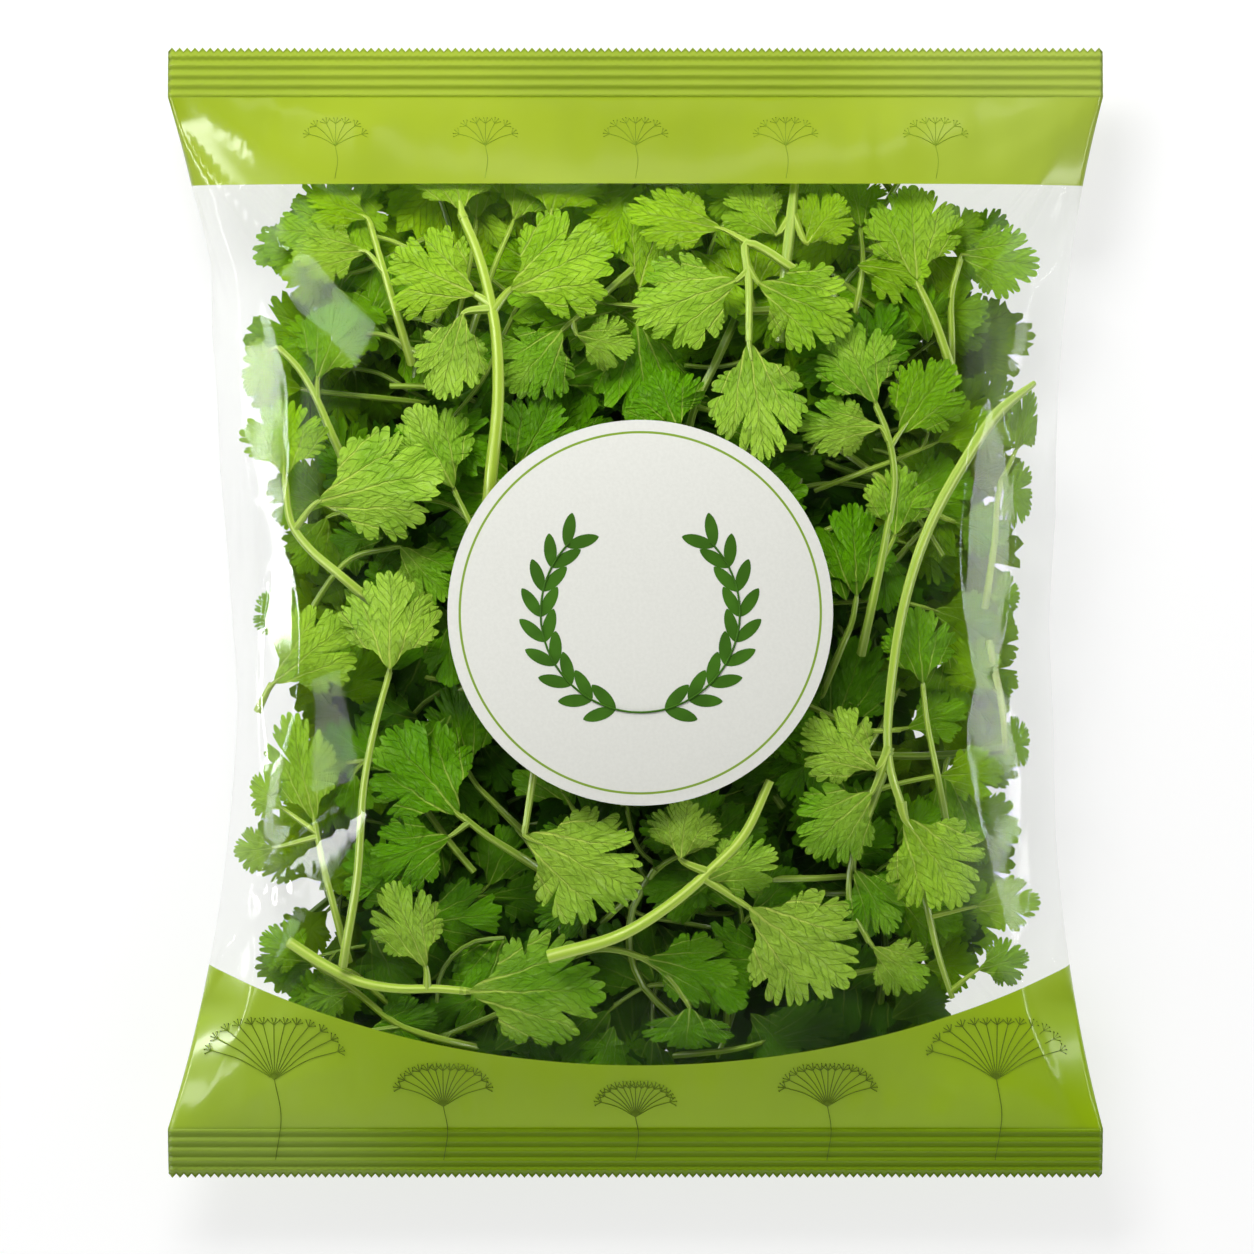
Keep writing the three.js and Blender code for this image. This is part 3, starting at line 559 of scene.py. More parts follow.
# %% [markdown]
# ## The leaflet
#
# A coriander leaflet is a fan: a wedge at its base, then three to five lobes with deep cuts
# between them, and small round teeth all round. A square with a leaf's outline in its alpha would
# be cheap, but its edge would have no thickness, and would be lost in the exported mesh. Seen from
# a point a little below its middle, the edge is a distance that depends on the angle alone. So the
# blade is a polar grid, whose outer ring follows that distance. Its spokes are not evenly spread:
# each tooth has the same few, close together at its slit, so that a slit is sharp and a crown is
# round. The blade is made twice, a fifth of a millimetre apart, and the two sheets share the outer
# ring, which closes it.

# %% The spokes of a leaflet, tooth by tooth
TOOTHED = 128.0
FINE, MIDDLE, COARSE = (26, 7, 18), (15, 4, 12), (11, 2, 8)
TOOTH_STEPS = {7: (0, 0.05, 0.2, 0.4, 0.6, 0.8, 0.95), 4: (0, 0.15, 0.5, 0.85), 2: (0, 0.5)}


def toothed_spokes(draw, detail):
    """The spokes' angles in degrees, and a half circle over each tooth, times its own depth."""
    teeth, steps, plain = detail
    widths = draw.uniform(0.6, 1.4, teeth)
    starts = np.concatenate([[0], np.cumsum(widths)])
    starts = TOOTHED * (2 * starts / starts[-1] - 1)
    u = np.array(TOOTH_STEPS[steps])
    toothed = (starts[:-1, None] + np.diff(starts)[:, None] * u).ravel()
    slit = np.outer(draw.uniform(0.5, 1.2, teeth), 1 - np.sqrt(1 - (2 * u - 1) ** 2)).ravel()
    smooth = np.linspace(TOOTHED, 360 - TOOTHED, plain, endpoint=False)
    return np.concatenate([toothed, smooth]), np.concatenate([slit, np.zeros(plain)])


print("spokes of a fine leaflet:", len(toothed_spokes(np.random.default_rng(1), FINE)[0]))

# %% The leaflet's edge
EDGE_ANGLES = [0, 18, 34, 50, 64, 80, 98, 112, 126, 140, 158, 180]
EDGE_REACH = [0.60, 0.585, 0.54, 0.555, 0.575, 0.54, 0.48, 0.41, 0.315, 0.265, 0.285, 0.40]
LOBE_CUTS = ((37, 0.52, 3.6), (86, 0.34, 3.4), (17, 0.2, 2.4), (61, 0.22, 2.4))
TOOTH_CUT = 0.16


def leaf_edge(degrees, slit, draw):
    """Distance to the edge: an envelope, times narrow cuts between the lobes, times the teeth."""
    around = (degrees + 180) % 360 - 180
    edge = np.interp(np.abs(around), EDGE_ANGLES, EDGE_REACH)
    for place, depth, wide in LOBE_CUTS:
        for side in (-1, 1):
            cut = (around - side * (place + draw.uniform(-5, 5))) / wide
            edge = edge * (1 - depth * draw.uniform(0.5, 1.15) * np.exp(-(cut**2)))
    return edge * (1 - TOOTH_CUT * slit * np.clip((132 - np.abs(around)) / 16, 0, 1))


def narrowed(flat, base):
    """The leaf drawn in evenly towards its base, until its outermost point fits beside the film."""
    limit = (0.96 + 0.015 * np.sin(7 * base[1])) * (half_width(flat[:, 1]) - SIDE_ROOM)
    over = np.abs(flat[:, 0]) > limit
    if not over.any():
        return flat
    inward = abs(base[0])
    share = (limit[over] - inward) / np.maximum(np.abs(flat[over, 0]) - inward, 0.1)
    share = float(np.clip(share.min(), 0.55, 1))
    return np.stack([base[0] + (flat[:, 0] - base[0]) * share, flat[:, 1]], 1)


print("envelope of a leaflet, widest:", max(EDGE_REACH), "of its length")

# %% The leaflet's two sheets
HUB, SHEET_HALF = 0.4, 0.1


def leaflet(sprig, spec, draw, tone=0.5, warm=0.0, detail=FINE, rings=5, play=2.0):
    """A polar grid around a hub on the midrib, laid on the sprig's level, made twice."""
    base, tip, wide = np.array(spec[0], float), np.array(spec[1], float), spec[2]
    ahead = tip - base
    degrees, slit = toothed_spokes(draw, detail)
    edge, angle = leaf_edge(degrees, slit, draw), np.radians(degrees)
    spokes = len(angle)
    share = (np.linspace(0, 1, rings + 1)[1:] ** 0.75)[:, None]
    s = np.concatenate([[HUB], (HUB + share * edge * np.cos(angle)).ravel()])
    v = np.concatenate([[0.0], (share * edge * np.sin(angle)).ravel()])
    out = np.concatenate([[0.0], np.repeat(share[:, 0], spokes)])
    around = np.concatenate([[0.0], np.tile(angle, rings)])
    flat = base + s[:, None] * ahead + (v * wide)[:, None] * np.array([-ahead[1], ahead[0]])
    x, y = settle(narrowed(flat, base), sprig.get("reach", LEAF_REACH)).T
    # a slant along the midrib, an arch across it, a fold of both halves, and a wavy, pleated edge
    slant, fold, sway = draw.uniform(-1, 1), draw.uniform(-0.7, 1.1), draw.uniform(0, 6)
    relief = slant * (s - HUB) + 0.9 * (0.35 - 3 * v * v) * (1 - 0.5 * fold)
    relief += 0.5 * fold * np.abs(v) + 0.3 * out**3 * np.sin(4 * around + sway)
    pleat = out * (0.22 * np.cos(5 * around + sway) + 0.13 * np.cos(13 * around - 2 * sway))
    low, high = room(x, y)
    z = np.clip(level_height(x, y, sprig["level"], relief, play) + pleat, low - 1.2, high + 0.8)
    half = SHEET_HALF * (out < 1)
    inner = 1 + (rings - 1) * spokes
    top = np.stack([x, y, z + half], 1)
    under = np.stack([x, y, z - half], 1)[:inner]
    n, upper = len(top), 1 + np.arange(rings * spokes).reshape(rings, spokes)
    lower = np.vstack([upper[:-1] + n, upper[-1:]])
    faces = [fan_faces(0, upper[0]), ring_faces(upper, flip=True),
             fan_faces(n, lower[0], flip=True), ring_faces(lower)]
    uv = np.stack([s, v], 1)
    return bundle(np.vstack([top, under]), faces, np.vstack([uv, uv[:inner]]), tone, warm)


sample = leaflet(dict(level=0), ((0, 0), (0, 20), 1.0), np.random.default_rng(1))
print("points of a fine leaflet:", len(sample["points"]))

# %% [markdown]
# ## Stems and stalks
#
# A stem is a round profile carried along a smooth line through its plan points. A curve object with
# a bevel could be that tube, but its profile would be plain. Coriander stems are ribbed, so here
# the profile's radius rises and falls a little around it. The line is the same spline that the
# model's stems follow: a cubic whose pace slows down where points lie close.

# %% A smooth line through a few points
def smooth_line(points, spacing=1.6):
    """Centripetal Catmull-Rom: a cubic between each two points, with knots by root of distance."""
    points = np.asarray(points, float)
    ends = 2 * points[[0, -1]] - points[[1, -2]]
    p = np.vstack([ends[:1], points, ends[1:]])
    knots = np.concatenate([[0], np.cumsum(np.sqrt(np.hypot(*np.diff(p, axis=0).T)))])
    pieces = []
    for i in range(1, len(p) - 2):
        steps = max(2, int(np.hypot(*(p[i + 1] - p[i])) / spacing))
        t0, t1, t2, t3 = knots[i - 1:i + 3]
        t = np.linspace(t1, t2, steps, endpoint=False)[:, None]
        a1 = ((t1 - t) * p[i - 1] + (t - t0) * p[i]) / (t1 - t0)
        a2 = ((t2 - t) * p[i] + (t - t1) * p[i + 1]) / (t2 - t1)
        a3 = ((t3 - t) * p[i + 1] + (t - t2) * p[i + 2]) / (t3 - t2)
        b1 = ((t2 - t) * a1 + (t - t0) * a2) / (t2 - t0)
        b2 = ((t3 - t) * a2 + (t - t1) * a3) / (t3 - t1)
        pieces.append(((t2 - t) * b1 + (t - t1) * b2) / (t2 - t1))
    return np.vstack([*pieces, points[-1:]])


print("points along the longest stem:", len(smooth_line(front[2]["stem"])))

# %% The tube along a line
def tube(line, radius, sides=14, ribs=0.06, tone=0.5, warm=0.0, finish=1):
    """A ring of points around each point of a line, its radius rippled five times round."""
    ahead = np.gradient(line, axis=0)
    ahead /= np.linalg.norm(ahead, axis=1, keepdims=True)
    aside = np.stack([-ahead[:, 1], ahead[:, 0], 0 * ahead[:, 0]], 1)
    aside /= np.linalg.norm(aside, axis=1, keepdims=True)
    upward = np.cross(ahead, aside)
    angle = np.linspace(0, 2 * np.pi, sides, endpoint=False)
    reach = np.broadcast_to(radius, len(line))[:, None] * (1 + ribs * np.cos(5 * angle))
    rings = (line[:, None] + (reach * np.cos(angle))[..., None] * aside[:, None]
             + (reach * np.sin(angle))[..., None] * upward[:, None])
    n = len(line) * sides
    points = np.vstack([rings.reshape(-1, 3), line[:1], line[-1:]])
    index = np.arange(n).reshape(-1, sides)
    faces = [ring_faces(index), fan_faces(n, index[0], flip=True), fan_faces(n + 1, index[-1])]
    length = np.concatenate([[0], np.cumsum(np.linalg.norm(np.diff(line, axis=0), axis=1))])
    uv = np.stack([np.tile(angle / (2 * np.pi), len(line)), np.repeat(length, sides)], 1)
    uv = np.vstack([uv, [[0, 0], [0, length[-1]]]])
    return bundle(points, faces, uv, tone, warm, finish)


sample = tube(np.array([[0.0, 0, 0], [0, 5, 0], [0, 10, 0]]), 1.0)
print("points of a tube with three rings:", len(sample["points"]))

# %% Stems and stalks on their level
SLIM_STEMS = {"long_right": 0.82}
DEEP_DIVE, SHORT_DIVE, DIVE_STEEPNESS = 12.0, 4.0, 0.2
STEM_TAPER, STEM_SLACK, LEAST_RADIUS = 0.35, 0.3, 0.3


def stem(sprig, tone, warm=0.0, sides=14, dive=DEEP_DIVE):
    """A stem on its level that tapers to its tip; its cut end dives between the lower leaves."""
    points = sprig["stem"]
    back = points[0] - points[1]
    end = points[0] + back / np.hypot(*back) * dive
    reach = sprig.get("reach", LEAF_REACH)
    plan = smooth_line(settle(np.vstack([[end], points]) if dive else points, reach))
    x, y = plan.T
    taper = 1 - STEM_TAPER * np.linspace(0, 1, len(x))
    radius = sprig["radius"] * taper * SLIM_STEMS.get(sprig["name"], 1)
    radius = np.minimum(radius, 0.5 * level_step(x, y) - STEM_SLACK)
    past = np.hypot(x - plan[0, 0], y - plan[0, 1])
    drop = DIVE_STEEPNESS * np.clip(dive - past, 0, None) ** 1.4 if dive else 0
    z = level_height(x, y, sprig["level"]) - drop
    line = np.stack([x, y, np.maximum(z, room(x, y)[0] + 0.5)], 1)
    return tube(line, np.clip(radius, LEAST_RADIUS, None), sides, tone=tone, warm=warm)


def stalk(sprig, spec, tone, warm=0.0, sides=10):
    """From inside the stem to a little way up the leaflet's midrib."""
    foot = stalk_foot(sprig["stem"], sprig["leaflets"], spec)
    base, tip = np.array(spec[0], float), np.array(spec[1], float)
    knee = base + 0.16 * (tip - base)
    plan = settle(smooth_line(np.array([foot, base, knee]), 1.2), sprig.get("reach", LEAF_REACH))
    x, y = plan.T
    z = level_height(x, y, sprig["level"])
    share = np.linspace(0, 1, len(x))
    radius = 0.75 * sprig["radius"] * (1 - 0.65 * share)
    radius = np.minimum(radius, 0.5 * level_step(x, y) - STEM_SLACK)
    return tube(np.stack([x, y, z], 1), np.clip(radius, 0.25, None), sides, tone=tone, warm=warm)


heights = stem(front[0], 0.5)["points"][:, 2]
print("the first stem lies", heights.min().round(1), "to", heights.max().round(1), "mm high")

# %% [markdown]
# ## The leaf's finish
#
# A fresh leaf is matte green with a thin gloss, and it lets light through in a yellower green. Its
# main veins fan out from the base, so in leaf coordinates they are lines of equal v / s, and a
# ping-pong of that ratio gives the distance beside the nearest one. The side veins fork off them
# as chevrons: lines where s grows with that distance. Between the veins the blade is wrinkled
# lengthwise, so one noise is stretched along that ratio, and another is even. A picture of a real
# leaf could show all this, but every leaf would then be that leaf. Leaves in the middle of the bag
# get hardly any light, so a second finish gives them less gloss and less light through.

# %% Leaf finish
PAINTED_SHADE_GREEN, FRESH_GREEN = (0.006, 0.040, 0.001, 1), (0.140, 0.402, 0.001, 1)
PAINTED_LIGHT_SAGE, BACKLIT_LIME = (0.428, 0.682, 0.060, 1), (0.480, 0.760, 0.002, 1)
VEIN_GREEN, PAINTED_CREST_HIGHLIGHT = (0.680, 0.850, 0.140, 1), (0.620, 0.820, 0.230, 1)
MOTTLE_GREEN, PAINTED_DIP_SHADE = (0.080, 0.270, 0.001, 1), (0.035, 0.160, 0.001, 1)
FORK_GREEN, LIGHT_THROUGH = (0.050, 0.200, 0.001, 1), (0.68, 0.97, 0.02, 1)
VEIN_FAN, FORK_SPACING = 0.17, 0.046


def leaf_finish(name, gloss, through):
    """Layers of green, mixed in turn by masks: painted shade, painted backlight, dips, veins."""
    f = Finish(name)
    s, v, _ = f.split(f.node("ShaderNodeUVMap", {"uv_map": "leaf"}))
    tone, warm, place = f.attribute("tone"), f.attribute("warm"), f.place()
    sway = (f.noise(place, 240) - 0.5) * 0.12
    ratio = v / (s + 0.14) + sway
    beside = ratio.math("PINGPONG", VEIN_FAN) * (s + 0.14)
    main_vein = (beside + s * 0.010).step(0.017, 0.006)
    forked = (s - beside * 1.3 + sway * 0.3).math("PINGPONG", FORK_SPACING)
    side_vein = forked.step(0.008, 0.001)
    lengthwise = f.node("ShaderNodeCombineXYZ", None,
                        {0: ratio * 26 + tone * 37, 1: s * 5 + warm * 11})
    wrinkle = f.noise(lengthwise, 1.0, 3, 0.6) * 0.6 + f.noise(place, 700, 3, 0.6) * 0.4
    billow = f.noise(place, 130, 1)
    shade = tone + (f.noise(place, 75, 1) - 0.5) * 0.55
    # painted shade and light: a low tone paints deep leaves dark, a high one paints leaves near the
    # film pale sage
    colour = f.mix(shade.step(0.0, 0.62), PAINTED_SHADE_GREEN, FRESH_GREEN)
    colour = f.mix(shade.step(0.60, 1.0), colour, PAINTED_LIGHT_SAGE)
    # painted backlight: leaves near the sides and the top are painted lime
    colour = f.mix(warm, colour, BACKLIT_LIME)
    mottle = f.noise(place, 330, 4, 0.6).step(0.35, 0.72)
    colour = f.mix(mottle * 0.18, colour, MOTTLE_GREEN)
    # painted shade in the dips of the wrinkles, and painted highlights on their crests
    colour = f.mix(wrinkle.step(0.50, 0.36) * 0.36, colour, PAINTED_DIP_SHADE)
    colour = f.mix(wrinkle.step(0.50, 0.68) * tone * 0.40, colour, PAINTED_CREST_HIGHLIGHT)
    colour = f.mix(side_vein * 0.35, colour, FORK_GREEN)
    colour = f.mix(main_vein * s.step(1.05, 0.1) * tone, colour, VEIN_GREEN)
    relief = wrinkle + billow * 2.2 - main_vein * 0.30 - side_vein * 0.22
    blade = f.node("ShaderNodeBsdfPrincipled", None, {
        "Base Color": colour, "Roughness": mottle * 0.12 + 0.30, "Specular IOR Level": gloss,
        "Normal": f.bumped(relief, 0.0014, 0.85)})
    light_through = f.node("ShaderNodeBsdfTranslucent", None, {"Color": LIGHT_THROUGH})
    # the painted backlight also raises the share of real light through the leaf
    return f.done(f.blend(warm * 0.25 + through, blade, light_through))


leaf_skin = leaf_finish("coriander_leaf", 0.08, 0.24)
shaded_skin = leaf_finish("shaded_leaf", 0.04, 0.14)
print("nodes in the leaf's finish:", len(leaf_skin.node_tree.nodes))

# %% [markdown]
# ## The stem's finish
#
# A stem is paler than the leaves, streaked lengthwise, with paler ribs and a wet gloss. A tube's
# own coordinates go round it and along it, so a streak is a noise stretched along it, and a rib is
# a ping-pong round it, in step with the ripple of its profile.

# %% Stem finish
STEM_SHADE, STEM_LIGHT = (0.036, 0.110, 0.002, 1), (0.500, 0.710, 0.070, 1)
STREAK_GREEN, RIB_GREEN = (0.160, 0.320, 0.010, 1), (0.730, 0.860, 0.230, 1)
BACKLIT_STEM_LIME = (0.400, 0.540, 0.030, 1)


def stem_finish():
    """Pale green with lengthwise streaks and paler ribs, painted brighter where the tone is high.
    """
    f = Finish("coriander_stem")
    around, along, _ = f.split(f.node("ShaderNodeUVMap", {"uv_map": "leaf"}))
    streak = f.noise(f.node("ShaderNodeCombineXYZ", None, {0: around * 9, 1: along * 0.05}), 1.0)
    rib = (around * 5).math("PINGPONG", 0.5).step(0.35, 0.0)
    tone = f.attribute("tone")
    # painted shade: stems deeper in the bag have a lower tone and are painted darker
    colour = f.mix(tone, STEM_SHADE, STEM_LIGHT)
    colour = f.mix(streak.step(0.35, 0.7) * 0.4, colour, STREAK_GREEN)
    colour = f.mix(rib * tone * 0.7, colour, RIB_GREEN)
    # painted backlight: stems near the sides and the top are painted limier
    colour = f.mix(f.attribute("warm") * 0.5, colour, BACKLIT_STEM_LIME)
    return f.done(f.node("ShaderNodeBsdfPrincipled", None, {
        "Base Color": colour, "Roughness": streak * 0.15 + 0.2, "Specular IOR Level": 0.35,
        "Normal": f.bumped(streak, 0.0003, 0.4)}))


stem_skin = stem_finish()
plant, shaded_plant = (leaf_skin, stem_skin), (shaded_skin, stem_skin)
print("plant finishes:", [m.name for m in (*plant, shaded_skin)])

# %% [markdown]
# ## The sprigs against the film
#
# Each sprig of the model gets a finer one in the same place: its stem, a stalk to each leaflet and
# the leaflets themselves. Copies of one leaf would be quicker, but no two real leaves are alike, so
# each is worked out anew. Leaves are painted paler near the film and darker a level further in, as
# painted light and shade, and less dark near the top. Leaves near the sides and the top are painted
# limier, as painted backlight. Both are worked out from each leaf's place, with a little chance
# from a seeded draw.

# %% Tone and warmth of a leaf
HEAP_HALF, HEAP_TOP, HEAP_BOTTOM = 78.0, 112.0, 110.0
CUT_END_SHOWS = ("bottom_left", "bottom_arch", "long_right", "left_mid")
PALE_STEMS = {"bottom_left": 0.3, "bottom_arch": 0.2}


def in_heap(x, y, margin=0.0):
    """Inside the thick of the leaves: a superellipse, drawn in by a margin."""
    tall = np.where(y > 0, HEAP_TOP, HEAP_BOTTOM) - margin
    return np.abs(x / (HEAP_HALF - margin)) ** 5 + np.abs(y / tall) ** 5 < 1


def leaf_light(centre, level, draw):
    """Painted light and shade as a tone, and painted backlight near the edges; returns both."""
    # painted backlight: the lime share grows towards the sides and the top
    edge = max((abs(centre[0]) - 52) / 34, (centre[1] - 55) / 34, 0)
    # painted shade: each level down is painted darker, less so near the top, as painted light there
    shaded = 0.17 * level * (1 - 0.85 * np.clip((centre[1] - 50) / 38, 0, 1))
    tone = 0.95 - shaded + draw.uniform(-0.16, 0.1)
    return np.clip(tone, 0, 1), np.clip(0.75 * edge * draw.uniform(0.4, 1.2), 0, 0.9)


print("the thick of the leaves is", 2 * HEAP_HALF, "mm wide")

# %% The front and the inner sprigs
def leafy_sprig(sprig, draw, detail, rings, sides, play=2.0):
    """The bundles of a sprig, with a tone and a painted backlight for each leaflet."""
    tone, warm = leaf_light(sprig["stem"][-1], sprig["level"], draw)
    back = sprig["stem"][0] - sprig["stem"][1]
    hidden = in_heap(*(sprig["stem"][0] + 14 * back / np.hypot(*back)), 8)
    dive = 0 if sprig["name"] in CUT_END_SHOWS else DEEP_DIVE if hidden else SHORT_DIVE
    pale = PALE_STEMS.get(sprig["name"], 0) + 0.1
    bundles = [stem(sprig, 0.55 * tone + pale, warm, sides, dive)]
    for spec in sprig["leaflets"]:
        middle = (np.array(spec[0]) + np.array(spec[1])) / 2
        tone, warm = leaf_light(middle, sprig["level"], draw)
        bundles.append(stalk(sprig, spec, 0.5 * tone + 0.1, warm, max(6, sides - 4)))
        bundles.append(leaflet(sprig, spec, draw, tone, warm, detail, rings, play))
    return bundles


draw = np.random.default_rng(7)
for sprigs, shape, finish, slot in ((front, (FINE, 5, 15), plant, "leaf"),
                                    (inner, (MIDDLE, 4, 10), shaded_plant, "inner_leaf")):
    for sprig in sprigs:
        piece = new_piece("coriander_" + sprig["name"], leafy_sprig(sprig, draw, *shape), finish,
                          slot)
        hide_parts("sprig_" + sprig["name"])
print("sprigs dressed:", len(front) + len(inner))

# %% [markdown]
# ## Filling the bag
#
# A full bag holds far more leaves than the ones that touch the film. A particle system could
# scatter them, but they would pass through each other where it shows. So the rest is laid by rule:
# a small sprig is drawn at a random place, drops through everything that it would cross, and stays
# at the first level that is free there. Inside the heap its first level is the third, which leaves
# shaded hollows between the front sprigs, as in a real bunch.

# %% Small sprigs at random, inside the heap and at its edge
EDGE_HALF, EDGE_TALL, FILL_REACH = 89.0, 98.0, 106.0


def small_sprig(draw, centre, heading, size, count):
    """A short curved stem with one to three leaflets fanned at its tip."""
    bend = draw.uniform(-0.6, 0.6)
    turns = heading + bend * (np.arange(3) / 2 - 0.5)
    reach = (np.arange(3) - 2)[:, None] * 0.55 * size
    points = np.array(centre) + reach * np.stack([np.cos(turns), np.sin(turns)], 1)
    leaflets = []
    for turn in (0.0, 1.35, -1.35)[:count]:
        way = heading + bend / 2 + turn + draw.uniform(-0.15, 0.15)
        ahead = np.array([np.cos(way), np.sin(way)])
        base = points[-1] + ahead * (2.5 if turn else 1.5)
        leaflets.append((tuple(base), tuple(base + ahead * size * draw.uniform(0.85, 1.05)),
                         draw.uniform(0.8, 1.1)))
    return draw.uniform(0.6, 0.85), points, leaflets


def inside_sprig(draw):
    """Anywhere in the heap, in any direction."""
    centre = draw.uniform([-80, -106], [80, 110])
    sprig = small_sprig(draw, centre, draw.uniform(0, 2 * np.pi), draw.uniform(12, 18),
                        int(draw.integers(1, 4)))
    ends = np.array([sprig[1][0], *(tip for _, tip, _ in sprig[2])])
    return sprig if in_heap(*ends.T, 1).all() else None


def edge_sprig(draw):
    """At either side of the heap, with its tip towards the film's side."""
    side, y, size = draw.choice([-1, 1]), draw.uniform(-78, 88), draw.uniform(11, 17)
    heading = np.arctan2(0.25 * y / 80, side) + draw.uniform(-0.6, 0.6)
    reach = draw.uniform(70, 84) + 4 * (np.abs(y) > 60)
    centre = (side * reach - np.cos(heading) * (size + 1.5), y)
    sprig = small_sprig(draw, centre, heading, size, int(draw.integers(1, 3)))
    tips = np.abs([tip for _, tip, _ in sprig[2]]) / (EDGE_HALF, EDGE_TALL)
    return sprig if ((tips ** 5).sum(1) < 1).all() else None


sample = small_sprig(np.random.default_rng(1), (0, 0), 0.0, 15.0, 3)
print("a small sprig has", len(sample[2]), "leaflets on a stem of", len(sample[1]), "points")

# %% The small sprigs drop into the heap
def fill(laid, below, draw, propose, count, levels, tries):
    """Small sprigs that drop to the first free level from levels[0] on, above those below."""
    def patches_of(sprigs):
        return (np.vstack([s["patches"] for s in sprigs]),
                np.concatenate([[s["level"]] * len(s["patches"]) for s in sprigs]))

    def levels_met(patches, heap, heap_levels):
        gaps = np.hypot(patches[:, None, 0] - heap[:, 0], patches[:, None, 1] - heap[:, 1])
        return heap_levels[(gaps < patches[:, None, 2] + heap[:, 2]).any(0)]

    over, under, placed = patches_of(laid), patches_of(below), []
    for _ in range(tries):
        sprig = propose(draw)
        if sprig is None:
            continue
        patches = footprint(*sprig)
        level = max([levels[0] - 1, *levels_met(patches, *over)]) + 1
        if level <= min([levels[1], *(levels_met(patches, *under) - 1)]):
            placed.append(dict(name="loose", radius=sprig[0], stem=sprig[1], leaflets=sprig[2],
                               patches=patches, level=level, reach=FILL_REACH))
            over = (np.vstack([over[0], patches]), np.append(over[1], [level] * len(patches)))
        if len(placed) == count:
            break
    return placed


draw = np.random.default_rng(21)
edging = fill(front, inner, draw, edge_sprig, 48, (0, 6), 3500)
loose = fill(front + edging, inner, draw, inside_sprig, 200, (2, 6), 6000)
print("edge sprigs", len(edging), "loose sprigs", len(loose),
      "on levels", np.bincount([s["level"] for s in edging + loose]))

# %% [markdown]
# ## Leaves and stems in the depth
#
# Below the sprigs the bag is packed with leaves that show only through the hollows, with thin stems
# crossing in front of them. The leaves are single blades without stalks, at any tilt. The deepest
# show only as dark shapes and have few faces, because a thousand fine ones would make the model
# heavy and look the same. A few more are placed one by one at the right side, where the sprigs are
# few and the floor would show through.

# %% Single leaves and bare stems
def scattered_leaves(draw, count, levels, sizes, tone_level, detail, rings, margin):
    """Leaves at any tilt in the heap; levels and sizes give the range of each."""
    bundles = []
    for x, y in draw.uniform([-74, -104], [74, 106], (count, 2)):
        way, size, level = draw.uniform(0, 2 * np.pi), draw.uniform(*sizes), draw.uniform(*levels)
        tip = (x + size * np.cos(way), y + size * np.sin(way))
        if not (in_heap(x, y, margin) and in_heap(*tip, margin)):
            continue
        tone, warm = leaf_light((x, y), tone_level(level), draw)
        sprig = dict(level=level, reach=FILL_REACH)
        bundles.append(leaflet(sprig, ((x, y), tip, draw.uniform(0.8, 1.1)), draw, tone, warm,
                               detail, rings, play=4))
    return bundles


SIDE_LEAVES = [  # x and y of the base, heading in degrees, length, level
    (66, -16, -20, 15, 4.2), (70, -31, 30, 14, 5.0), (63, -24, -8, 17, 5.6),
    (68, -44, -15, 15, 4.6), (66, -55, 15, 16, 5.4), (72, -38, 60, 13, 5.8),
    (66, -8, 5, 15, 5.2), (64, -66, 10, 16, 4.8),
]


def side_leaves(draw):
    """Single leaves at the places of the table, with painted backlight towards the film's side."""
    bundles = []
    for x, y, heading, size, level in SIDE_LEAVES:
        way = np.radians(heading)
        tip = (x + size * np.cos(way), y + size * np.sin(way))
        # painted light: a shallower level for the tone paints these leaves paler
        tone, warm = leaf_light(((x + tip[0]) / 2, y), 0.7 * level, draw)
        bundles.append(leaflet(dict(level=level, reach=FILL_REACH), ((x, y), tip, 1.05), draw, tone,
                               warm, MIDDLE, 2, play=2))
    return bundles


def thin_stems(draw, count):
    """Bare stems that cross the hollows between the leaves."""
    bundles = []
    for x, y in draw.uniform([-55, -80], [55, 80], (count, 2)):
        way, bend = draw.uniform(0, 2 * np.pi), draw.uniform(-0.5, 0.5)
        turns = way + bend * np.linspace(-1, 1, 5)
        reach = np.linspace(-1, 1, 5)[:, None] * draw.uniform(10, 20)
        points = np.array([x, y]) + reach * np.stack([np.cos(turns), np.sin(turns)], 1)
        plan = smooth_line(settle(points), 3.5)
        slant = np.linspace(-1, 1, len(plan)) * draw.uniform(-3, 3)
        low, high = room(*plan.T)
        z = np.clip(level_height(*plan.T, draw.uniform(2.5, 6), slant, 1.0), low, high - 2)
        # painted shade: a low tone paints these stems dark
        bundles.append(tube(np.column_stack([plan, z]), draw.uniform(0.45, 0.8), 7, 0,
                            draw.uniform(0.15, 0.5)))
    return bundles


print("leaves set by hand:", len(SIDE_LEAVES))

# %% The pieces that fill the bag
for part, name in enumerate(("loose_sprigs_a", "loose_sprigs_b", "loose_sprigs_c")):
    bundles = [b for s in (edging + loose)[part::3] for b in leafy_sprig(s, draw, MIDDLE, 3, 8)]
    new_piece(name, bundles, plant, "inner_leaf")
new_piece("middle_leaves",
          scattered_leaves(draw, 190, (2.2, 4.5), (11, 18), lambda level: level, MIDDLE, 2, 4)
          + side_leaves(np.random.default_rng(5)),
          plant, "inner_leaf")
# painted shade: the tone of the deep leaves, worked out from their level, paints them dark
new_piece("deep_leaves",
          scattered_leaves(draw, 1220, (4, 8.2), (15, 24), lambda level: 2.6 + 0.42 * level,
                           COARSE, 1, 9), shaded_plant, "inner_leaf")
new_piece("thin_stems", thin_stems(draw, 90), plant, "inner_leaf")

# %% [markdown]
# ## Creases of the film
#
# On top of the bag's smooth cushion lie the creases: short puckers along the seals, fans out of the
# corners, a few long folds, and a slow waviness all over, which die out under the label because
# the paper holds the film flat. Bump in the finish could draw them, but creases this large bend
# the reflections and show in the outline, so they are in the mesh, as a height over the cushion.

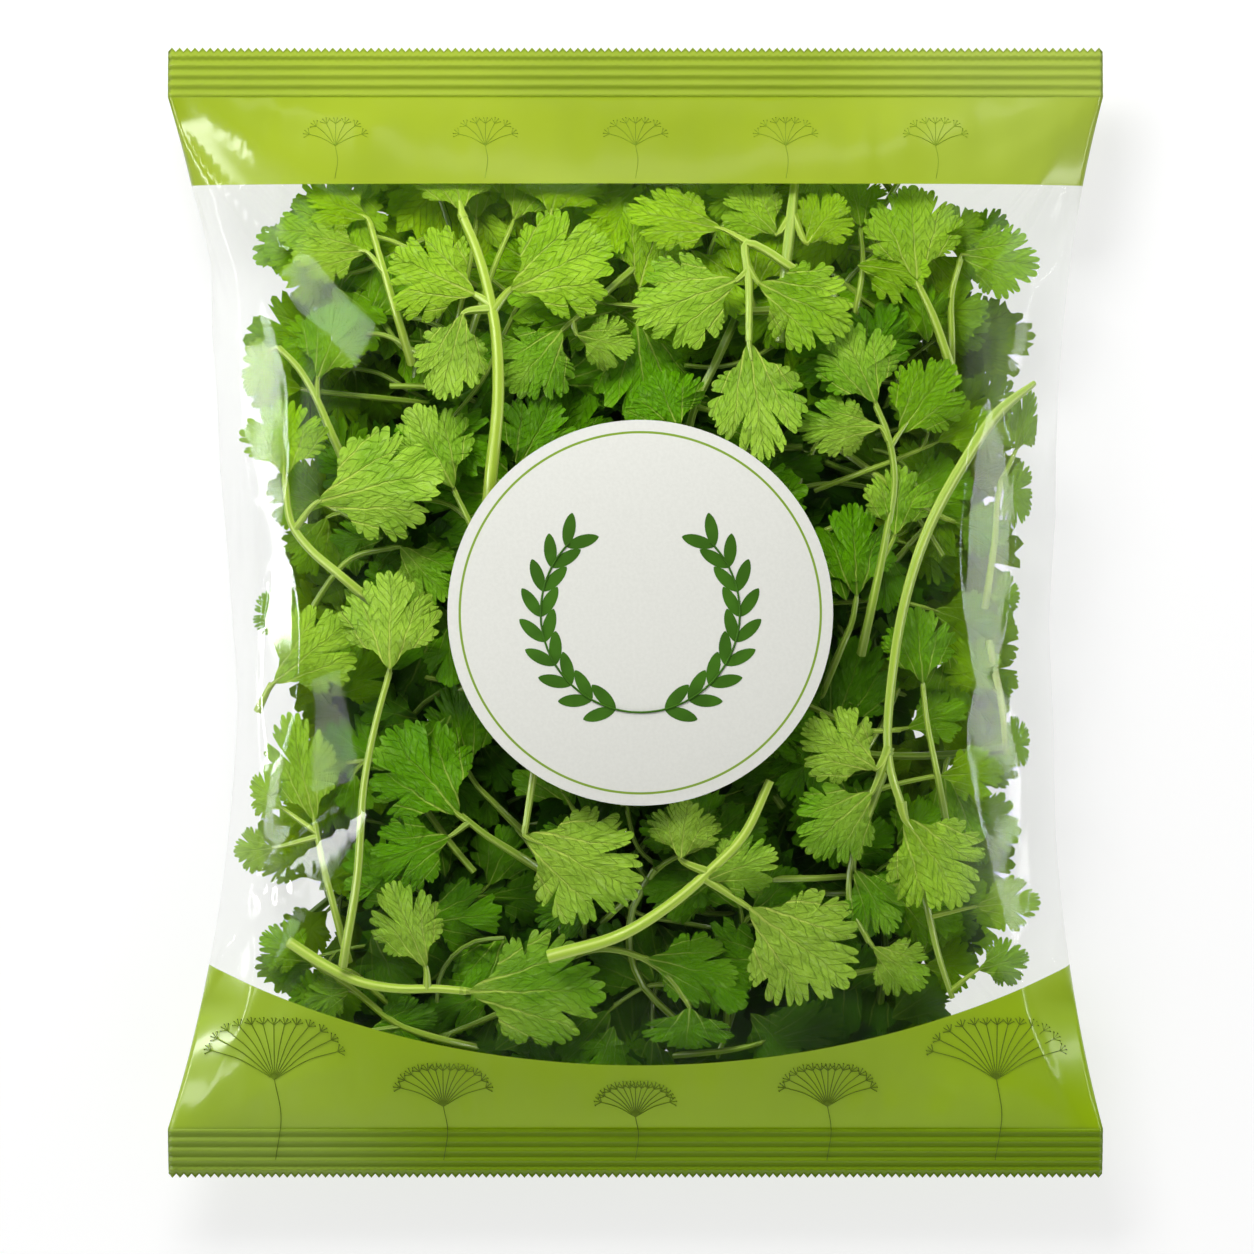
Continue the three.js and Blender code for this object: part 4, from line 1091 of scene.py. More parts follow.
# %% One fold, and a slow waviness
LABEL_CENTRE, LABEL_RADIUS = np.array([1.0, 0.0]), 40.7
SEAL_CORNERS = [(-100, 110), (100, 110), (-100, -110), (100, -110)]
LONG_FOLDS = [  # from, to, half-width and height in millimetres
    ((-82, -58), (-57, -38), 2.6, 0.9), ((-86, -66), (-70, -58), 2.2, 0.8),
    ((-97, 104), (-73, 76), 3.0, 1.2), ((-92, 88), (-84, 52), 2.0, 0.8),
    ((98, 104), (87, 78), 2.6, 1.1), ((92, 84), (84, 48), 2.0, 0.7),
    ((80, 50), (68, 36), 2.4, 0.8), ((68, 36), (75, -2), 2.2, 0.7),
    ((-82, 60), (-84, 20), 2.2, 0.7), ((-80, 10), (-84, -40), 2.0, 0.6),
    ((-98, -106), (-84, -78), 2.6, 1.0), ((97, -106), (85, -76), 2.6, 1.0),
    ((-92, -108), (-60, -96), 2.4, 0.7), ((92, -108), (58, -97), 2.4, 0.7),
    ((80, -28), (84, -66), 2.2, 0.8),
]


def fold(x, y, start, end, half, height):
    """A ridge along a line, with a round crest, that fades at both ends."""
    start, ahead = np.array(start, float), np.subtract(end, start).astype(float)
    size = np.hypot(*ahead)
    along = ((x - start[0]) * ahead[0] + (y - start[1]) * ahead[1]) / size**2
    aside = ((y - start[1]) * ahead[0] - (x - start[0]) * ahead[1]) / size
    aside = aside - 0.06 * size * np.sin(np.pi * along)
    ends = np.clip(4 * along * (1 - along), 0, 1) * ((along > 0) & (along < 1))
    return height * np.sqrt(ends) * np.exp(-((aside / half) ** 2))


def waviness(x, y, draw, count, low, high):
    """A sum of plane waves in random directions, scaled to about -1 to 1."""
    total = np.zeros(np.broadcast(x, y).shape)
    for _ in range(count):
        way, length = draw.uniform(0, np.pi), draw.uniform(low, high)
        phase = draw.uniform(0, 2 * np.pi)
        total += np.sin(2 * np.pi * (x * np.cos(way) + y * np.sin(way)) / length + phase)
    return total / np.sqrt(count)


print("the tallest long fold:", max(height for *_, height in LONG_FOLDS), "mm")

# %% All the creases together
def creases(x, y, seed):
    """Height of the film's creases over its smooth shape, in millimetres."""
    draw = np.random.default_rng(seed)
    a, inland = half_width(y), BODY_HALF - np.abs(y)
    # puckers along the seals
    pucker = np.cos(2 * np.pi * (x + 3 * waviness(x, 0 * y, draw, 3, 30, 70)) / 9.5)
    height = 0.35 * pucker * np.exp(-inland / 9) * (1 + 0.5 * waviness(x, 0 * y, draw, 4, 14, 40))
    for cx, cy in SEAL_CORNERS:  # a fan out of each corner
        away, turn = np.hypot(x - cx, y - cy), np.arctan2(y - cy, x - cx)
        rays = np.sin(15 * turn + 2.2 * np.sin(3 * turn + seed))
        tall = 0.35 if cy > 0 else 0.5
        height = height + tall * rays * np.exp(-away / 38) * (1 - np.exp(-away / 10))
    # ripples along the sides, and a slow waviness all over
    side = np.exp(-(a - np.abs(x)) / 9)
    height = height + 0.5 * side * waviness(0.25 * x, y, draw, 5, 12, 34)
    height = height + 0.2 * waviness(x, y, draw, 9, 18, 46)
    for start, end, half, high in LONG_FOLDS:
        height = height + fold(x, y, start, end, half, high)
    from_label = np.hypot(x - LABEL_CENTRE[0], y - LABEL_CENTRE[1]) - LABEL_RADIUS
    return height * np.clip(from_label / 12, 0, 1) * np.clip(inland / 2.5, 0, 1)


across = creases(np.linspace(-85, 85, 60), np.full(60, 90.0), 3)
print("creases below the top seal reach", float(across.max().round(2)), "mm")

# %% [markdown]
# ## Facets
#
# Where a leaf props the film up, it stretches flat between two sharp edges, and such a facet
# mirrors a lamp as one clean patch. Noise never gives edges like that. Each facet is a spindle in
# plan, narrow at both ends, and across it the film's height is a straight chord from edge to edge.

# %% The front of the film, with its facets
FACETS = [  # middle of each end, half-width half-way in mm, and its gloss; below 0 it is duller
    ((75.5, 46), (73.5, -16), 5.6, 0.03), ((74, -14), (79, -52), 6.0, 0.05),
    ((84.5, 30), (83, -30), 2.2, 0.0), ((-80.5, 66), (-77, 20), 5.2, 0.08),
    ((-84.5, 52), (-85, -8), 1.8, 0.05), ((-75, 14), (-78, -34), 4.6, 0.5),
    ((-57.5, -41), (-82, -63), 5.2, 0.7), ((-98.5, 110.3), (-69, 77), 7.0, 0.12),
    ((98.5, 110.3), (81, 66), 5.4, -0.10), ((-83, -68), (-97.5, -110), 5.6, 0.0),
    ((83, -68), (98, -110), 5.6, -0.12),
]
CREASE_SEED, FACET_FLATNESS = 3, 0.93


def facet_span(y, top, bottom, half):
    """Both edges of a spindle, as x at each y, and 0 where y lies past its ends."""
    along = (y - bottom[1]) / (top[1] - bottom[1])
    middle = bottom[0] + (top[0] - bottom[0]) * along
    wide = half * np.clip(4 * along * (1 - along), 0, 1) ** 0.6
    return middle - wide, middle + wide, np.where((along > 0) & (along < 1), wide, 0)


def film_top(x, y):
    """The smooth front, its creases, and chords across the facets; it stays over the leaves."""
    bulge = front_rise(x, y)
    lift = np.clip(creases(x, y, CREASE_SEED) + 0.1, -0.9, 1.6) * np.clip(bulge / 5, 0, 1)
    for *outline, _ in FACETS:
        left, right, wide = facet_span(y, *outline)
        inside = (x > left) & (x < right) & (wide > 0.3)
        share = (x - left) / np.maximum(right - left, 0.1)
        ends = front_rise(left, y), front_rise(right, y)
        chord = ends[0] + (ends[1] - ends[0]) * share
        flat = np.clip(np.minimum(x - left, right - x) / 0.8, 0, 1)
        bulge = np.where(inside, chord, bulge)
        lift = np.where(inside, lift * (1 - FACET_FLATNESS * flat), lift)
    return SEAL_HEIGHT + FILM_THICK / 2 + bulge + lift


def glassiness(x, y):
    """How glassy the facet at each place is, and 0 between the facets."""
    glassy = 0 * x
    for *outline, share in FACETS:
        left, right, wide = facet_span(y, *outline)
        glassy = np.where((x > left) & (x < right) & (wide > 0.3), share, glassy)
    return glassy


print("film under the label:", round(float(film_top(*LABEL_CENTRE)), 2), "mm")

# %% [markdown]
# ## The skin of the bag
#
# The bag is one closed skin: a front sheet and a back sheet that meet along the sides and end in
# the seals. Two flat sheets could be blown up as cloth, but the two of one formula meet exactly.
# Both are the same grid. Its columns close up towards the sides, where the film turns down
# steeply, and there are two of them for each tooth of the cut ends. The seals carry five crimped
# ribs. The sides draw in by a different amount at each height, with kinks, as film under tension
# does.

# %% Sides, seals and back
RIBS, RIB_WAVE, TOP_DROOP, BOTTOM_DROOP = 5, 0.4, 1.5, 4.0
SEAM_HALF, SEAM_THICK, SEAM_EDGE = 6.0, 0.4, 0.8
# height along the bag in millimetres, and how far the side draws in there, in thousandths
LEFT_SIDE = ((-110.3, 0), (-75, 12), (-19, 32), (0, 14), (30, -10), (60, -5), (74, 15), (91, 4))
RIGHT_SIDE = ((-110.3, 0), (-76, -6), (-46, -11), (-26, -20), (-1.5, -11), (21, -25), (60, -13),
              (91, -4))


def pinch(u, y):
    """The share by which each side draws in: straight between a few heights, so that it kinks."""
    left, right = (np.interp(y, *zip(*side, (110.3, 0))) for side in (LEFT_SIDE, RIGHT_SIDE))
    return 0.001 * np.where(u < 0, left, right) * np.abs(u) ** 4


def crimp(y):
    """Height of the crimped ribs over the seals, which also droop towards their cut edges."""
    in_seal = np.clip((np.abs(y) - BODY_HALF) / SEAL_DEPTH, 0, 1)
    rib = RIB_WAVE * np.sin(2 * np.pi * RIBS * in_seal) * (in_seal < 1)
    return rib - np.where(y > 0, TOP_DROOP, BOTTOM_DROOP) * in_seal**1.4


def back_sheet_height(x, y):
    """The back hangs below the seals until it lies flat, a step above its own lap seam."""
    seam = np.clip((np.abs(x) - SEAM_HALF) / SEAM_EDGE, 0, 1) * SEAM_THICK
    return np.maximum(SEAL_HEIGHT - FILM_THICK / 2 - back_drop(x, y), seam)


print("the top edge hangs", round(float(-crimp(BAG_LENGTH / 2)), 2), "mm below its seal")

# %% The skin as one grid
TEETH, TOOTH_DEPTH, BODY_ROWS, SEAL_ROWS = 122, 0.9, 112, 31


def film_skin():
    """Rings of points from one cut end to the other: front sheet one way, back sheet the other."""
    columns = 2 * TEETH
    u = np.linspace(-1, 1, columns + 1)
    share = np.linspace(0, 1, SEAL_ROWS)
    seal = BODY_HALF + SEAL_DEPTH * share
    rows = np.concatenate([-seal[::-1], np.linspace(-BODY_HALF, BODY_HALF, BODY_ROWS)[1:-1], seal])
    swell = front_swell(rows)[:, None]
    spread = (1 - swell) * u + swell * np.sin(np.pi * u / 2)
    y = np.repeat(rows[:, None], columns + 1, 1)
    x = half_width(np.clip(y, -BODY_HALF, BODY_HALF)) * spread
    in_seal = np.clip((np.abs(y) - BODY_HALF) / SEAL_DEPTH, 0, 1)
    rib = crimp(y)
    tooth = TOOTH_DEPTH * (np.arange(columns + 1) % 2 == 0)
    y = y - np.sign(y) * tooth * in_seal**6
    body_y = np.clip(y, -BODY_HALF, BODY_HALF)
    top = film_top(x, body_y) + rib
    under = back_sheet_height(x, body_y) + rib
    top[:, [0, -1]] = under[:, [0, -1]] = (SEAL_HEIGHT + rib)[:, [0, -1]]
    glassy = np.concatenate([glassiness(x, body_y), 0 * x[:, -2:0:-1]], 1)
    x = x * (1 - pinch(u, y))
    front_sheet = np.stack([x, y, top], -1)
    back_sheet = np.stack([x, y, under], -1)[:, -2:0:-1]
    rings = np.concatenate([front_sheet, back_sheet], 1)
    ring = rings.shape[1]
    faces = [ring_faces(np.arange(rings.size // 3).reshape(-1, ring))]
    for first in (0, (len(rows) - 1) * ring):
        i = np.arange(1, columns - 1)
        cap = [np.stack([i, i + 1, ring - i - 1, ring - i], -1),
               np.array([[0, 1, ring - 1], [columns - 1, columns, columns + 1]])]
        faces += [first + c for c in cap]
    return bundle(rings.reshape(-1, 3), faces, tone=glassy.ravel())


skin = film_skin()
print("points of the skin:", len(skin["points"]))

# %% Faces that point outwards, and crisp seal lines
def face_outwards(piece):
    """Turns every face so that its front is on the outside of the closed skin."""
    mesh = bmesh.new()
    mesh.from_mesh(piece.data)
    bmesh.ops.recalc_face_normals(mesh, faces=mesh.faces)
    mesh.to_mesh(piece.data)
    mesh.free()


def crease_at_seals(piece):
    """Marks the edges along both seal lines sharp, so that the fold is crisp into the corners."""
    mesh = piece.data
    y = np.empty(3 * len(mesh.vertices))
    mesh.vertices.foreach_get("co", y)
    on_line = np.abs(np.abs(y[1::3]) * 1000 - BODY_HALF) < 0.001
    ends = np.empty(2 * len(mesh.edges), np.int32)
    mesh.edges.foreach_get("vertices", ends)
    sharp = (mesh.attributes.get("sharp_edge")
             or mesh.attributes.new("sharp_edge", "BOOLEAN", "EDGE"))
    sharp.data.foreach_set("value", on_line[ends[::2]] & on_line[ends[1::2]])


print("the seal lines lie", BODY_HALF, "mm from the middle")

# %% [markdown]
# ## The print
#
# The printed ends are green ink with a clear gloss, and let some light through. The ink stops at a
# straight line at the top, and at a long arc at the bottom. Separate green pieces could lie on the
# film, but a mask in one finish keeps its edge exact: both lines are distances in the object's own
# coordinates. On the back, the print starts a little nearer to the seals, so that none of it shows
# through the window. The ink is painted brighter on the lower band as painted light, darker on
# the bottom seal as painted shade, and paler on the top seal and towards two opposite corners as
# a painted sheen.

# %% Where the print lies, and its ink
PRINT_TOP, PRINT_ARC_CENTRE, PRINT_ARC_RADIUS = 0.0913, (0.001, 0.1135), 0.2098
BACK_PRINT_SHIFT, PRINT_EDGE, PRINT_LETS_THROUGH = 0.0016, 0.0001, 0.28
INK_GREEN, LIGHT_INK = (0.305, 0.405, 0.012, 1), (0.365, 0.470, 0.018, 1)
PAINTED_LIGHT_LOW_INK, PAINTED_SHEEN_CORNER = (0.360, 0.540, 0.006, 1), (0.620, 0.720, 0.220, 1)
PAINTED_SHADE_LOW_SEAL, PAINTED_SHEEN_HIGH_SEAL = (0.120, 0.210, 0.001, 1), (0.600, 0.760, 0.220, 1)
INK_LIGHT_THROUGH = (0.50, 0.66, 0.03, 1)
SEAL_FROM, SEAL_TO = 0.1095, 0.1110


def print_mask(x, y, z):
    """1 past the straight line at the top or past the arc at the bottom, and 0 in the window."""
    dx, dy = x - PRINT_ARC_CENTRE[0], y - PRINT_ARC_CENTRE[1]
    away = (dx * dx + dy * dy).math("SQRT")
    behind = z.step(SEAL_HEIGHT * 0.001, SEAL_HEIGHT * 0.001 - 0.0005) * BACK_PRINT_SHIFT
    top, low = ((distance - behind).step(line - PRINT_EDGE, line + PRINT_EDGE)
                for distance, line in ((y, PRINT_TOP), (away, PRINT_ARC_RADIUS)))
    return top.math("MAXIMUM", low)


def ink_shader(f, x, y, glassy):
    """Cloudy green ink under a clear coat, which is glossier on a glassy facet."""
    cloud = f.noise(f.place(), 22, 3)
    ink = f.mix(cloud.step(0.3, 0.7), INK_GREEN, LIGHT_INK)
    # painted light: the lower band is painted brighter
    ink = f.mix(y.step(0.0, -0.09), ink, PAINTED_LIGHT_LOW_INK)
    # painted shade: the bottom seal is painted darker
    ink = f.mix(y.step(-SEAL_FROM, -SEAL_TO) * 0.70, ink, PAINTED_SHADE_LOW_SEAL)
    # painted sheen: the top seal and two opposite corners are painted paler
    ink = f.mix(y.step(SEAL_FROM, SEAL_TO) * 0.12, ink, PAINTED_SHEEN_HIGH_SEAL)
    ink = f.mix((x * y).step(0.0040, 0.0090) * 0.20, ink, PAINTED_SHEEN_CORNER)
    green = f.node("ShaderNodeBsdfPrincipled", None, {
        "Base Color": ink, "Roughness": cloud * 0.1 + 0.25, "Specular IOR Level": 0.12,
        "Coat Weight": glassy * 2.5 + 0.4, "Coat Roughness": 0.14})
    green_light = f.node("ShaderNodeBsdfTranslucent", None, {"Color": INK_LIGHT_THROUGH})
    return f.blend(PRINT_LETS_THROUGH, green, green_light)


print("the window is", round(1000 * (PRINT_TOP + PRINT_ARC_RADIUS - PRINT_ARC_CENTRE[1])),
      "mm tall")

# %% [markdown]
# ## The clear film's finish
#
# Clear film is nearly all light passing straight through, with a mirror on top: a Transparent
# shader and a Glossy one. Glass would bend the light as a solid block does, which a thin sheet
# doesn't. The mirror's share is Schlick's formula for a thin sheet, the same from inside and
# outside: under 1 % face on, rising with the fifth power of one minus the cosine. The flat facets
# are glassier. Along the sides a white haze is mixed in, partly the milkiness of stretched film,
# partly painted glare; in streaks beside them and in fans out of the four corners it is painted
# glare that stands in for mirrored lamps.

# %% Printed and clear film in one finish
FACE_ON_GLOSS, FACET_GLOSS = 0.006, 0.045
EDGE_MILK_AND_GLARE, STREAK_GLARE, CORNER_GLARE = 0.09, 0.12, 0.06


def film_finish():
    """Ink where the print mask is 1, elsewhere clear film, its mirror, and haze and painted glare.
    """
    f = Finish("printed_film")
    x, y, z = f.split(f.place())
    glassy = f.attribute("tone")
    clear = f.node("ShaderNodeBsdfTransparent", None, {"Color": (0.998, 0.999, 0.997, 1)})
    mirror = f.node("ShaderNodeBsdfGlossy", None, {"Color": (1, 1, 1, 1), "Roughness": 0.06})
    slope = f.node("ShaderNodeLayerWeight", None, {"Blend": 0.5}, out=1)
    gloss = f.blend(slope.math("POWER", 5.0) * 0.95 + glassy * FACET_GLOSS + FACE_ON_GLOSS,
                    clear, mirror)
    milk_and_glare = f.node("ShaderNodeBsdfDiffuse", None, {"Color": (0.96, 0.97, 0.96, 1)})
    # milky haze and painted glare at the sides; painted glare in streaks beside them and in fans
    # from the corners
    edge = abs(x).step(0.073, 0.090) * EDGE_MILK_AND_GLARE
    streak = f.noise(f.node("ShaderNodeCombineXYZ", None, {0: x * 90, 1: y * 14}), 1.0, 2)
    haze_and_glare = streak.step(0.50, 0.72) * abs(x).step(0.060, 0.085) * STREAK_GLARE + edge
    in_x, in_y = 0.1 - abs(x), BODY_HALF * 0.001 - abs(y)
    glare_fan = f.noise(f.node("ShaderNodeCombineXYZ", None,
                         {0: in_y.math("ARCTAN2", in_x) * 8, 1: x * 6}), 1.0, 2)
    near_corner = (in_x * in_x + in_y * in_y).step(0.0026, 0.0004)
    haze_and_glare = haze_and_glare + glare_fan.step(0.48, 0.62) * near_corner * CORNER_GLARE
    window = f.blend(haze_and_glare, gloss, milk_and_glare)
    return f.done(f.blend(print_mask(x, y, z), window, ink_shader(f, x, y, glassy)))


film = new_piece("film_skin", [skin], [film_finish()], "film", sharp=1.2)
face_outwards(film)
crease_at_seals(film)
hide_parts("film_bag")
print("film faces:", len(film.data.polygons))

# %% [markdown]
# ## Rims of the breathing holes
#
# A bag for fresh herbs has small round holes in its back, punched with a hot pin, which leaves a
# thin rim of melted film. Cutting the skin's grid would break its even rows, and the film is clear
# anyway, so a hole is shown by its rim alone: a fine tube carried round a circle.

# %% Rims of the breathing holes in the back
VENT_RADIUS, VENT_PLACES = 2.5, [(x, y) for x in (-32, 32) for y in (-42, 0, 42)]
RIM_RADIUS, RIM_LIFT = 0.2, 0.1


def vent_rim(x, y):
    """A thin ring of melted film: a small tube carried round a circle."""
    angle = np.linspace(0, 2 * np.pi, 33)
    ring = np.stack([x + VENT_RADIUS * np.cos(angle), y + VENT_RADIUS * np.sin(angle)], 1)
    line = np.column_stack([ring, back_sheet_height(*ring.T) + RIM_LIFT])
    return tube(line, RIM_RADIUS, 6, 0, finish=0)


def rim_finish():
    """Cloudy white film, glossy where it melted."""
    f = Finish("melted_film")
    cloud = f.noise(f.place(), 900, 2)
    return f.done(f.node("ShaderNodeBsdfPrincipled", None, {
        "Base Color": f.mix(cloud, (0.62, 0.65, 0.62, 1), (0.86, 0.88, 0.86, 1)),
        "Roughness": cloud * 0.2 + 0.15, "Specular IOR Level": 0.4}))


new_piece("vent_rims", [vent_rim(*place) for place in VENT_PLACES], [rim_finish()], "film")
print("breathing holes:", len(VENT_PLACES))

# %% [markdown]
# ## The label
#
# A round paper label lies on the film and bends with it. A flat disc could be pressed on to the
# film by a Shrinkwrap modifier, but the film's height is a formula, so the disc is a grid of polar
# rings that take their height from it. A thin green circle is printed near its rim, as a mask on
# the distance from its centre, and the paper shows its fibres.

# %% Label
LABEL_THICK, LABEL_GAP, LABEL_RINGS, LABEL_SPOKES = 0.3, 0.08, 26, 160
RING_RADIUS, RING_HALF, RING_GREEN = 0.0381, 0.00022, (0.20, 0.33, 0.035, 1)


def polar_sheet(radii, spokes, height, thick):
    """Closed disc: rings of points from the centre to the rim on top, and again underneath."""
    angle = np.linspace(0, 2 * np.pi, spokes, endpoint=False)
    x = np.concatenate([[0], np.outer(radii, np.cos(angle)).ravel()]) + LABEL_CENTRE[0]
    y = np.concatenate([[0], np.outer(radii, np.sin(angle)).ravel()]) + LABEL_CENTRE[1]
    z = height(x, y)
    n, upper = len(x), 1 + np.arange(len(radii) * spokes).reshape(-1, spokes)
    lower = upper + n
    faces = [fan_faces(0, upper[0]), ring_faces(upper, flip=True),
             fan_faces(n, lower[0], flip=True), ring_faces(np.vstack([lower, upper[-1:]]))]
    points = np.vstack([np.stack([x, y, z + thick], 1), np.stack([x, y, z], 1)])
    return bundle(points, faces)


def label_finish():
    """Matte paper, mottled by its fibres, with a thin printed circle."""
    f = Finish("label_paper")
    x, y, _ = f.split(f.place())
    dx, dy = x - LABEL_CENTRE[0] * 0.001, y - LABEL_CENTRE[1] * 0.001
    from_ring = abs((dx * dx + dy * dy).math("SQRT") - RING_RADIUS)
    fibre = f.noise(f.place(), 1400, 4, 0.6)
    paper = f.mix(fibre.step(0.3, 0.7), (0.658, 0.662, 0.612, 1), (0.688, 0.692, 0.642, 1))
    colour = f.mix(from_ring.step(RING_HALF + 0.00006, RING_HALF), paper, RING_GREEN)
    return f.done(f.node("ShaderNodeBsdfPrincipled", None, {
        "Base Color": colour, "Roughness": fibre * 0.1 + 0.7, "Specular IOR Level": 0.06,
        "Normal": f.bumped(fibre, 0.00004, 0.5)}))


radii = LABEL_RADIUS * np.linspace(0, 1, LABEL_RINGS + 1)[1:]
disc = polar_sheet(radii, LABEL_SPOKES, lambda x, y: film_top(x, y) + LABEL_GAP, LABEL_THICK)
label = new_piece("paper_label", [disc], [label_finish()], "label", sharp=0.8)
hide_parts("round_label")
print("label faces:", len(label.data.polygons))

# %% [markdown]
# ## Printed drawings
#
# Thin drawings stand in the printed ends: stalks that fan into rays, each with a few small seeds at
# its end, like the seed heads of the plant. A pattern of nodes could draw one ray, but hardly a
# whole head. So a line of ink is geometry: a four-sided tube, a fifth of a millimetre thick, that
# lies on the sheet and follows its creases and ribs.

# %% A line of ink on a sheet
def drawn_line(points, sheet, radius, spacing=1.2):
    """A four-sided tube along a smooth line whose height comes from the sheet under it."""
    plan = smooth_line(points, spacing)
    line = np.column_stack([plan, sheet(*plan.T) + radius])
    return tube(line, radius, 4, 0, finish=0)


def printed_sheet(x, y):
    """The front of the bag and of its seals."""
    return film_top(x, np.clip(y, -BODY_HALF, BODY_HALF)) + crimp(y)


sample = drawn_line([(0, 100), (10, 100)], printed_sheet, 0.1)
print("points of a line of 10 mm:", len(sample["points"]))

# %% Seed heads
def seed_head(foot, height, rays, spread, radius):
    """A stalk, then rays that each end in four short strokes; foot is the stalk's lower end."""
    x, y = foot
    lines = [drawn_line([(x, y), (x + 0.04 * height, y + 0.3 * height), (x, y + 0.55 * height)],
                        printed_sheet, radius, 0.35)]
    crown = np.array([x, y + 0.55 * height])
    for turn in np.linspace(-1.15, 1.15, rays):
        way = np.array([np.sin(turn), np.cos(turn)])
        size = 0.42 * height * (1 - 0.12 * np.cos(3 * turn))
        elbow = crown + way * size * 0.55 + np.array([0, 0.03 * height])
        lines.append(drawn_line([crown, elbow, crown + way * size], film_top, radius))
        for fork in np.linspace(-0.9, 0.9, 4) + turn:
            stroke = np.array([np.sin(fork), np.cos(fork)]) * spread
            ends = crown + way * size, crown + way * size + stroke
            lines.append(drawn_line(ends, film_top, radius * 0.9))
            bead = ends[1] + 0.35 * radius * np.array([[-1, -1], [1, 1]])
            lines.append(drawn_line(bead, film_top, radius * 2.2))
    return lines


def line_finish(name, colour):
    """Matte ink, a third paler where it is worn."""
    f = Finish(name)
    worn = f.noise(f.place(), 160, 3)
    ink = f.mix(worn.step(0.35, 0.7), colour, tuple(c * 1.35 for c in colour[:3]) + (1,))
    return f.done(f.node("ShaderNodeBsdfPrincipled", None, {
        "Base Color": ink, "Roughness": worn * 0.1 + 0.6, "Specular IOR Level": 0.08}))


# foot, height, number of rays, length of the strokes, and radius of the lines
low_heads = [((x, -117.0), 17 + 0.0025 * x * x, 13, 1.5, 0.10) for x in (-77, -41, 0, 41, 77)]
high_heads = [((x, 92.5), 13.0, 7, 1.3, 0.07) for x in np.linspace(-64, 64, 5)]
low_ink = line_finish("low_line_ink", (0.120, 0.185, 0.010, 1))
high_ink = line_finish("high_line_ink", (0.190, 0.280, 0.018, 1))
for name, heads, ink in (("low_drawings", low_heads, low_ink),
                         ("high_drawings", high_heads, high_ink)):
    new_piece(name, [line for head in heads for line in seed_head(*head)], (ink,), "film")
print("printed seed heads:", len(low_heads) + len(high_heads))

# %% [markdown]
# ## The wreath on the label
#
# The label carries a wreath of plain pointed leaves, which leaves room inside it for a shop's own
# words. It is printed, so it could be a mask in the paper's finish, but eighteen pairs of leaves
# would take hundreds of nodes. Each leaf is a thin patch on the paper instead: a circle whose
# sides are squeezed together towards both ends, which makes it a lens.

# %% The wreath
WREATH_RADIUS, WREATH_PAIRS, WREATH_LEAF, WREATH_HALF = 21.0, 9, (7.2, 2.7), 0.05
LEAF_POINTS = 24


def label_top(x, y):
    """The upper side of the paper."""
    return film_top(x, y) + LABEL_GAP + LABEL_THICK


def printed_leaf(base, heading):
    """A circle of angles whose width is squeezed towards both ends, made twice and joined."""
    angle = np.linspace(0, 2 * np.pi, LEAF_POINTS, endpoint=False)
    along = 0.5 - 0.5 * np.cos(angle)
    aside = 0.5 * np.sin(angle) * np.abs(np.sin(angle)) ** 0.4
    along, aside = np.append(0.5, along), np.append(0.0, aside)
    ahead = np.array([np.cos(heading), np.sin(heading)])
    plan = (np.array(base) + WREATH_LEAF[0] * along[:, None] * ahead
            + WREATH_LEAF[1] * aside[:, None] * np.array([-ahead[1], ahead[0]]))
    z = label_top(*plan.T)
    points = np.vstack([np.column_stack([plan, z + half]) for half in (WREATH_HALF, -WREATH_HALF)])
    n, ring = len(plan), np.arange(1, len(plan))
    faces = [fan_faces(0, ring, flip=True), fan_faces(n, ring + n),
             ring_faces(np.stack([ring, ring + n]))]
    return bundle(points, faces)


def wreath():
    """Two branches that leave the lowest point and curve up either side, with pairs of leaves."""
    bundles = []
    for side in (-1, 1):
        angle = -np.pi / 2 + side * np.linspace(0.0, 2.35, 24)
        arc = LABEL_CENTRE + WREATH_RADIUS * np.stack([np.cos(angle), np.sin(angle)], 1)
        bundles.append(drawn_line(arc, label_top, 0.22))
        for place in np.linspace(0.25, 2.3, WREATH_PAIRS):
            turn = -np.pi / 2 + side * place
            foot = LABEL_CENTRE + WREATH_RADIUS * np.array([np.cos(turn), np.sin(turn)])
            for lean in (-0.55, 0.55):
                bundles.append(printed_leaf(foot, turn + side * np.pi / 2 + lean))
    return bundles


new_piece("label_wreath", wreath(), (line_finish("wreath_ink", (0.035, 0.110, 0.006, 1)),),
          "label")
print("wreath leaves:", 4 * WREATH_PAIRS)

# %% [markdown]
# ## Floor, light and camera
#
# The studio is a pale floor, a soft white surround and a few soft boxes. One large soft light would
# be simpler, but film shows its form only by what it mirrors. The key light stands beyond the top
# seal and a little to the left, so the soft shadow falls towards the bottom and to the right, and
# it is kept out of reflections. The gleams are the opposite: boxes that the film mirrors, but that
# light nothing. Each stands where the film's slope turns it into a streak along a rounded side or a
# wedge in a corner. The surround is uneven, like the panels of a light tent, so the film mirrors
# soft patches. The camera looks straight down from so far that the bag shows almost no perspective.

# %% Floor
FLOOR_HALF = 4


def floor_finish():
    """Pale grey that also glows a little, so that it stays nearly white round the bag."""
    f = Finish("studio_floor")
    return f.done(f.node("ShaderNodeBsdfPrincipled", None, {
        "Base Color": f.mix(f.noise(f.place(), 3.0), (0.31, 0.31, 0.31, 1), (0.32, 0.32, 0.32, 1)),
        "Roughness": 0.85, "Specular IOR Level": 0.1, "Emission Color": (1, 1, 1, 1),
        "Emission Strength": 0.69}))


floor_mesh = bpy.data.meshes.new("studio_floor")
corners = [(x * FLOOR_HALF, y * FLOOR_HALF, 0) for x, y in ((-1, -1), (1, -1), (1, 1), (-1, 1))]
floor_mesh.from_pydata(corners, [], [(0, 1, 2, 3)])
floor_mesh.materials.append(floor_finish())
floor = bpy.data.objects.new("studio_floor", floor_mesh)
bpy.context.scene.collection.objects.link(floor)
print("floor:", 2 * FLOOR_HALF, "m square")

# %% Soft boxes
BAG_MIDDLE = Vector((0, 0, 0.03))


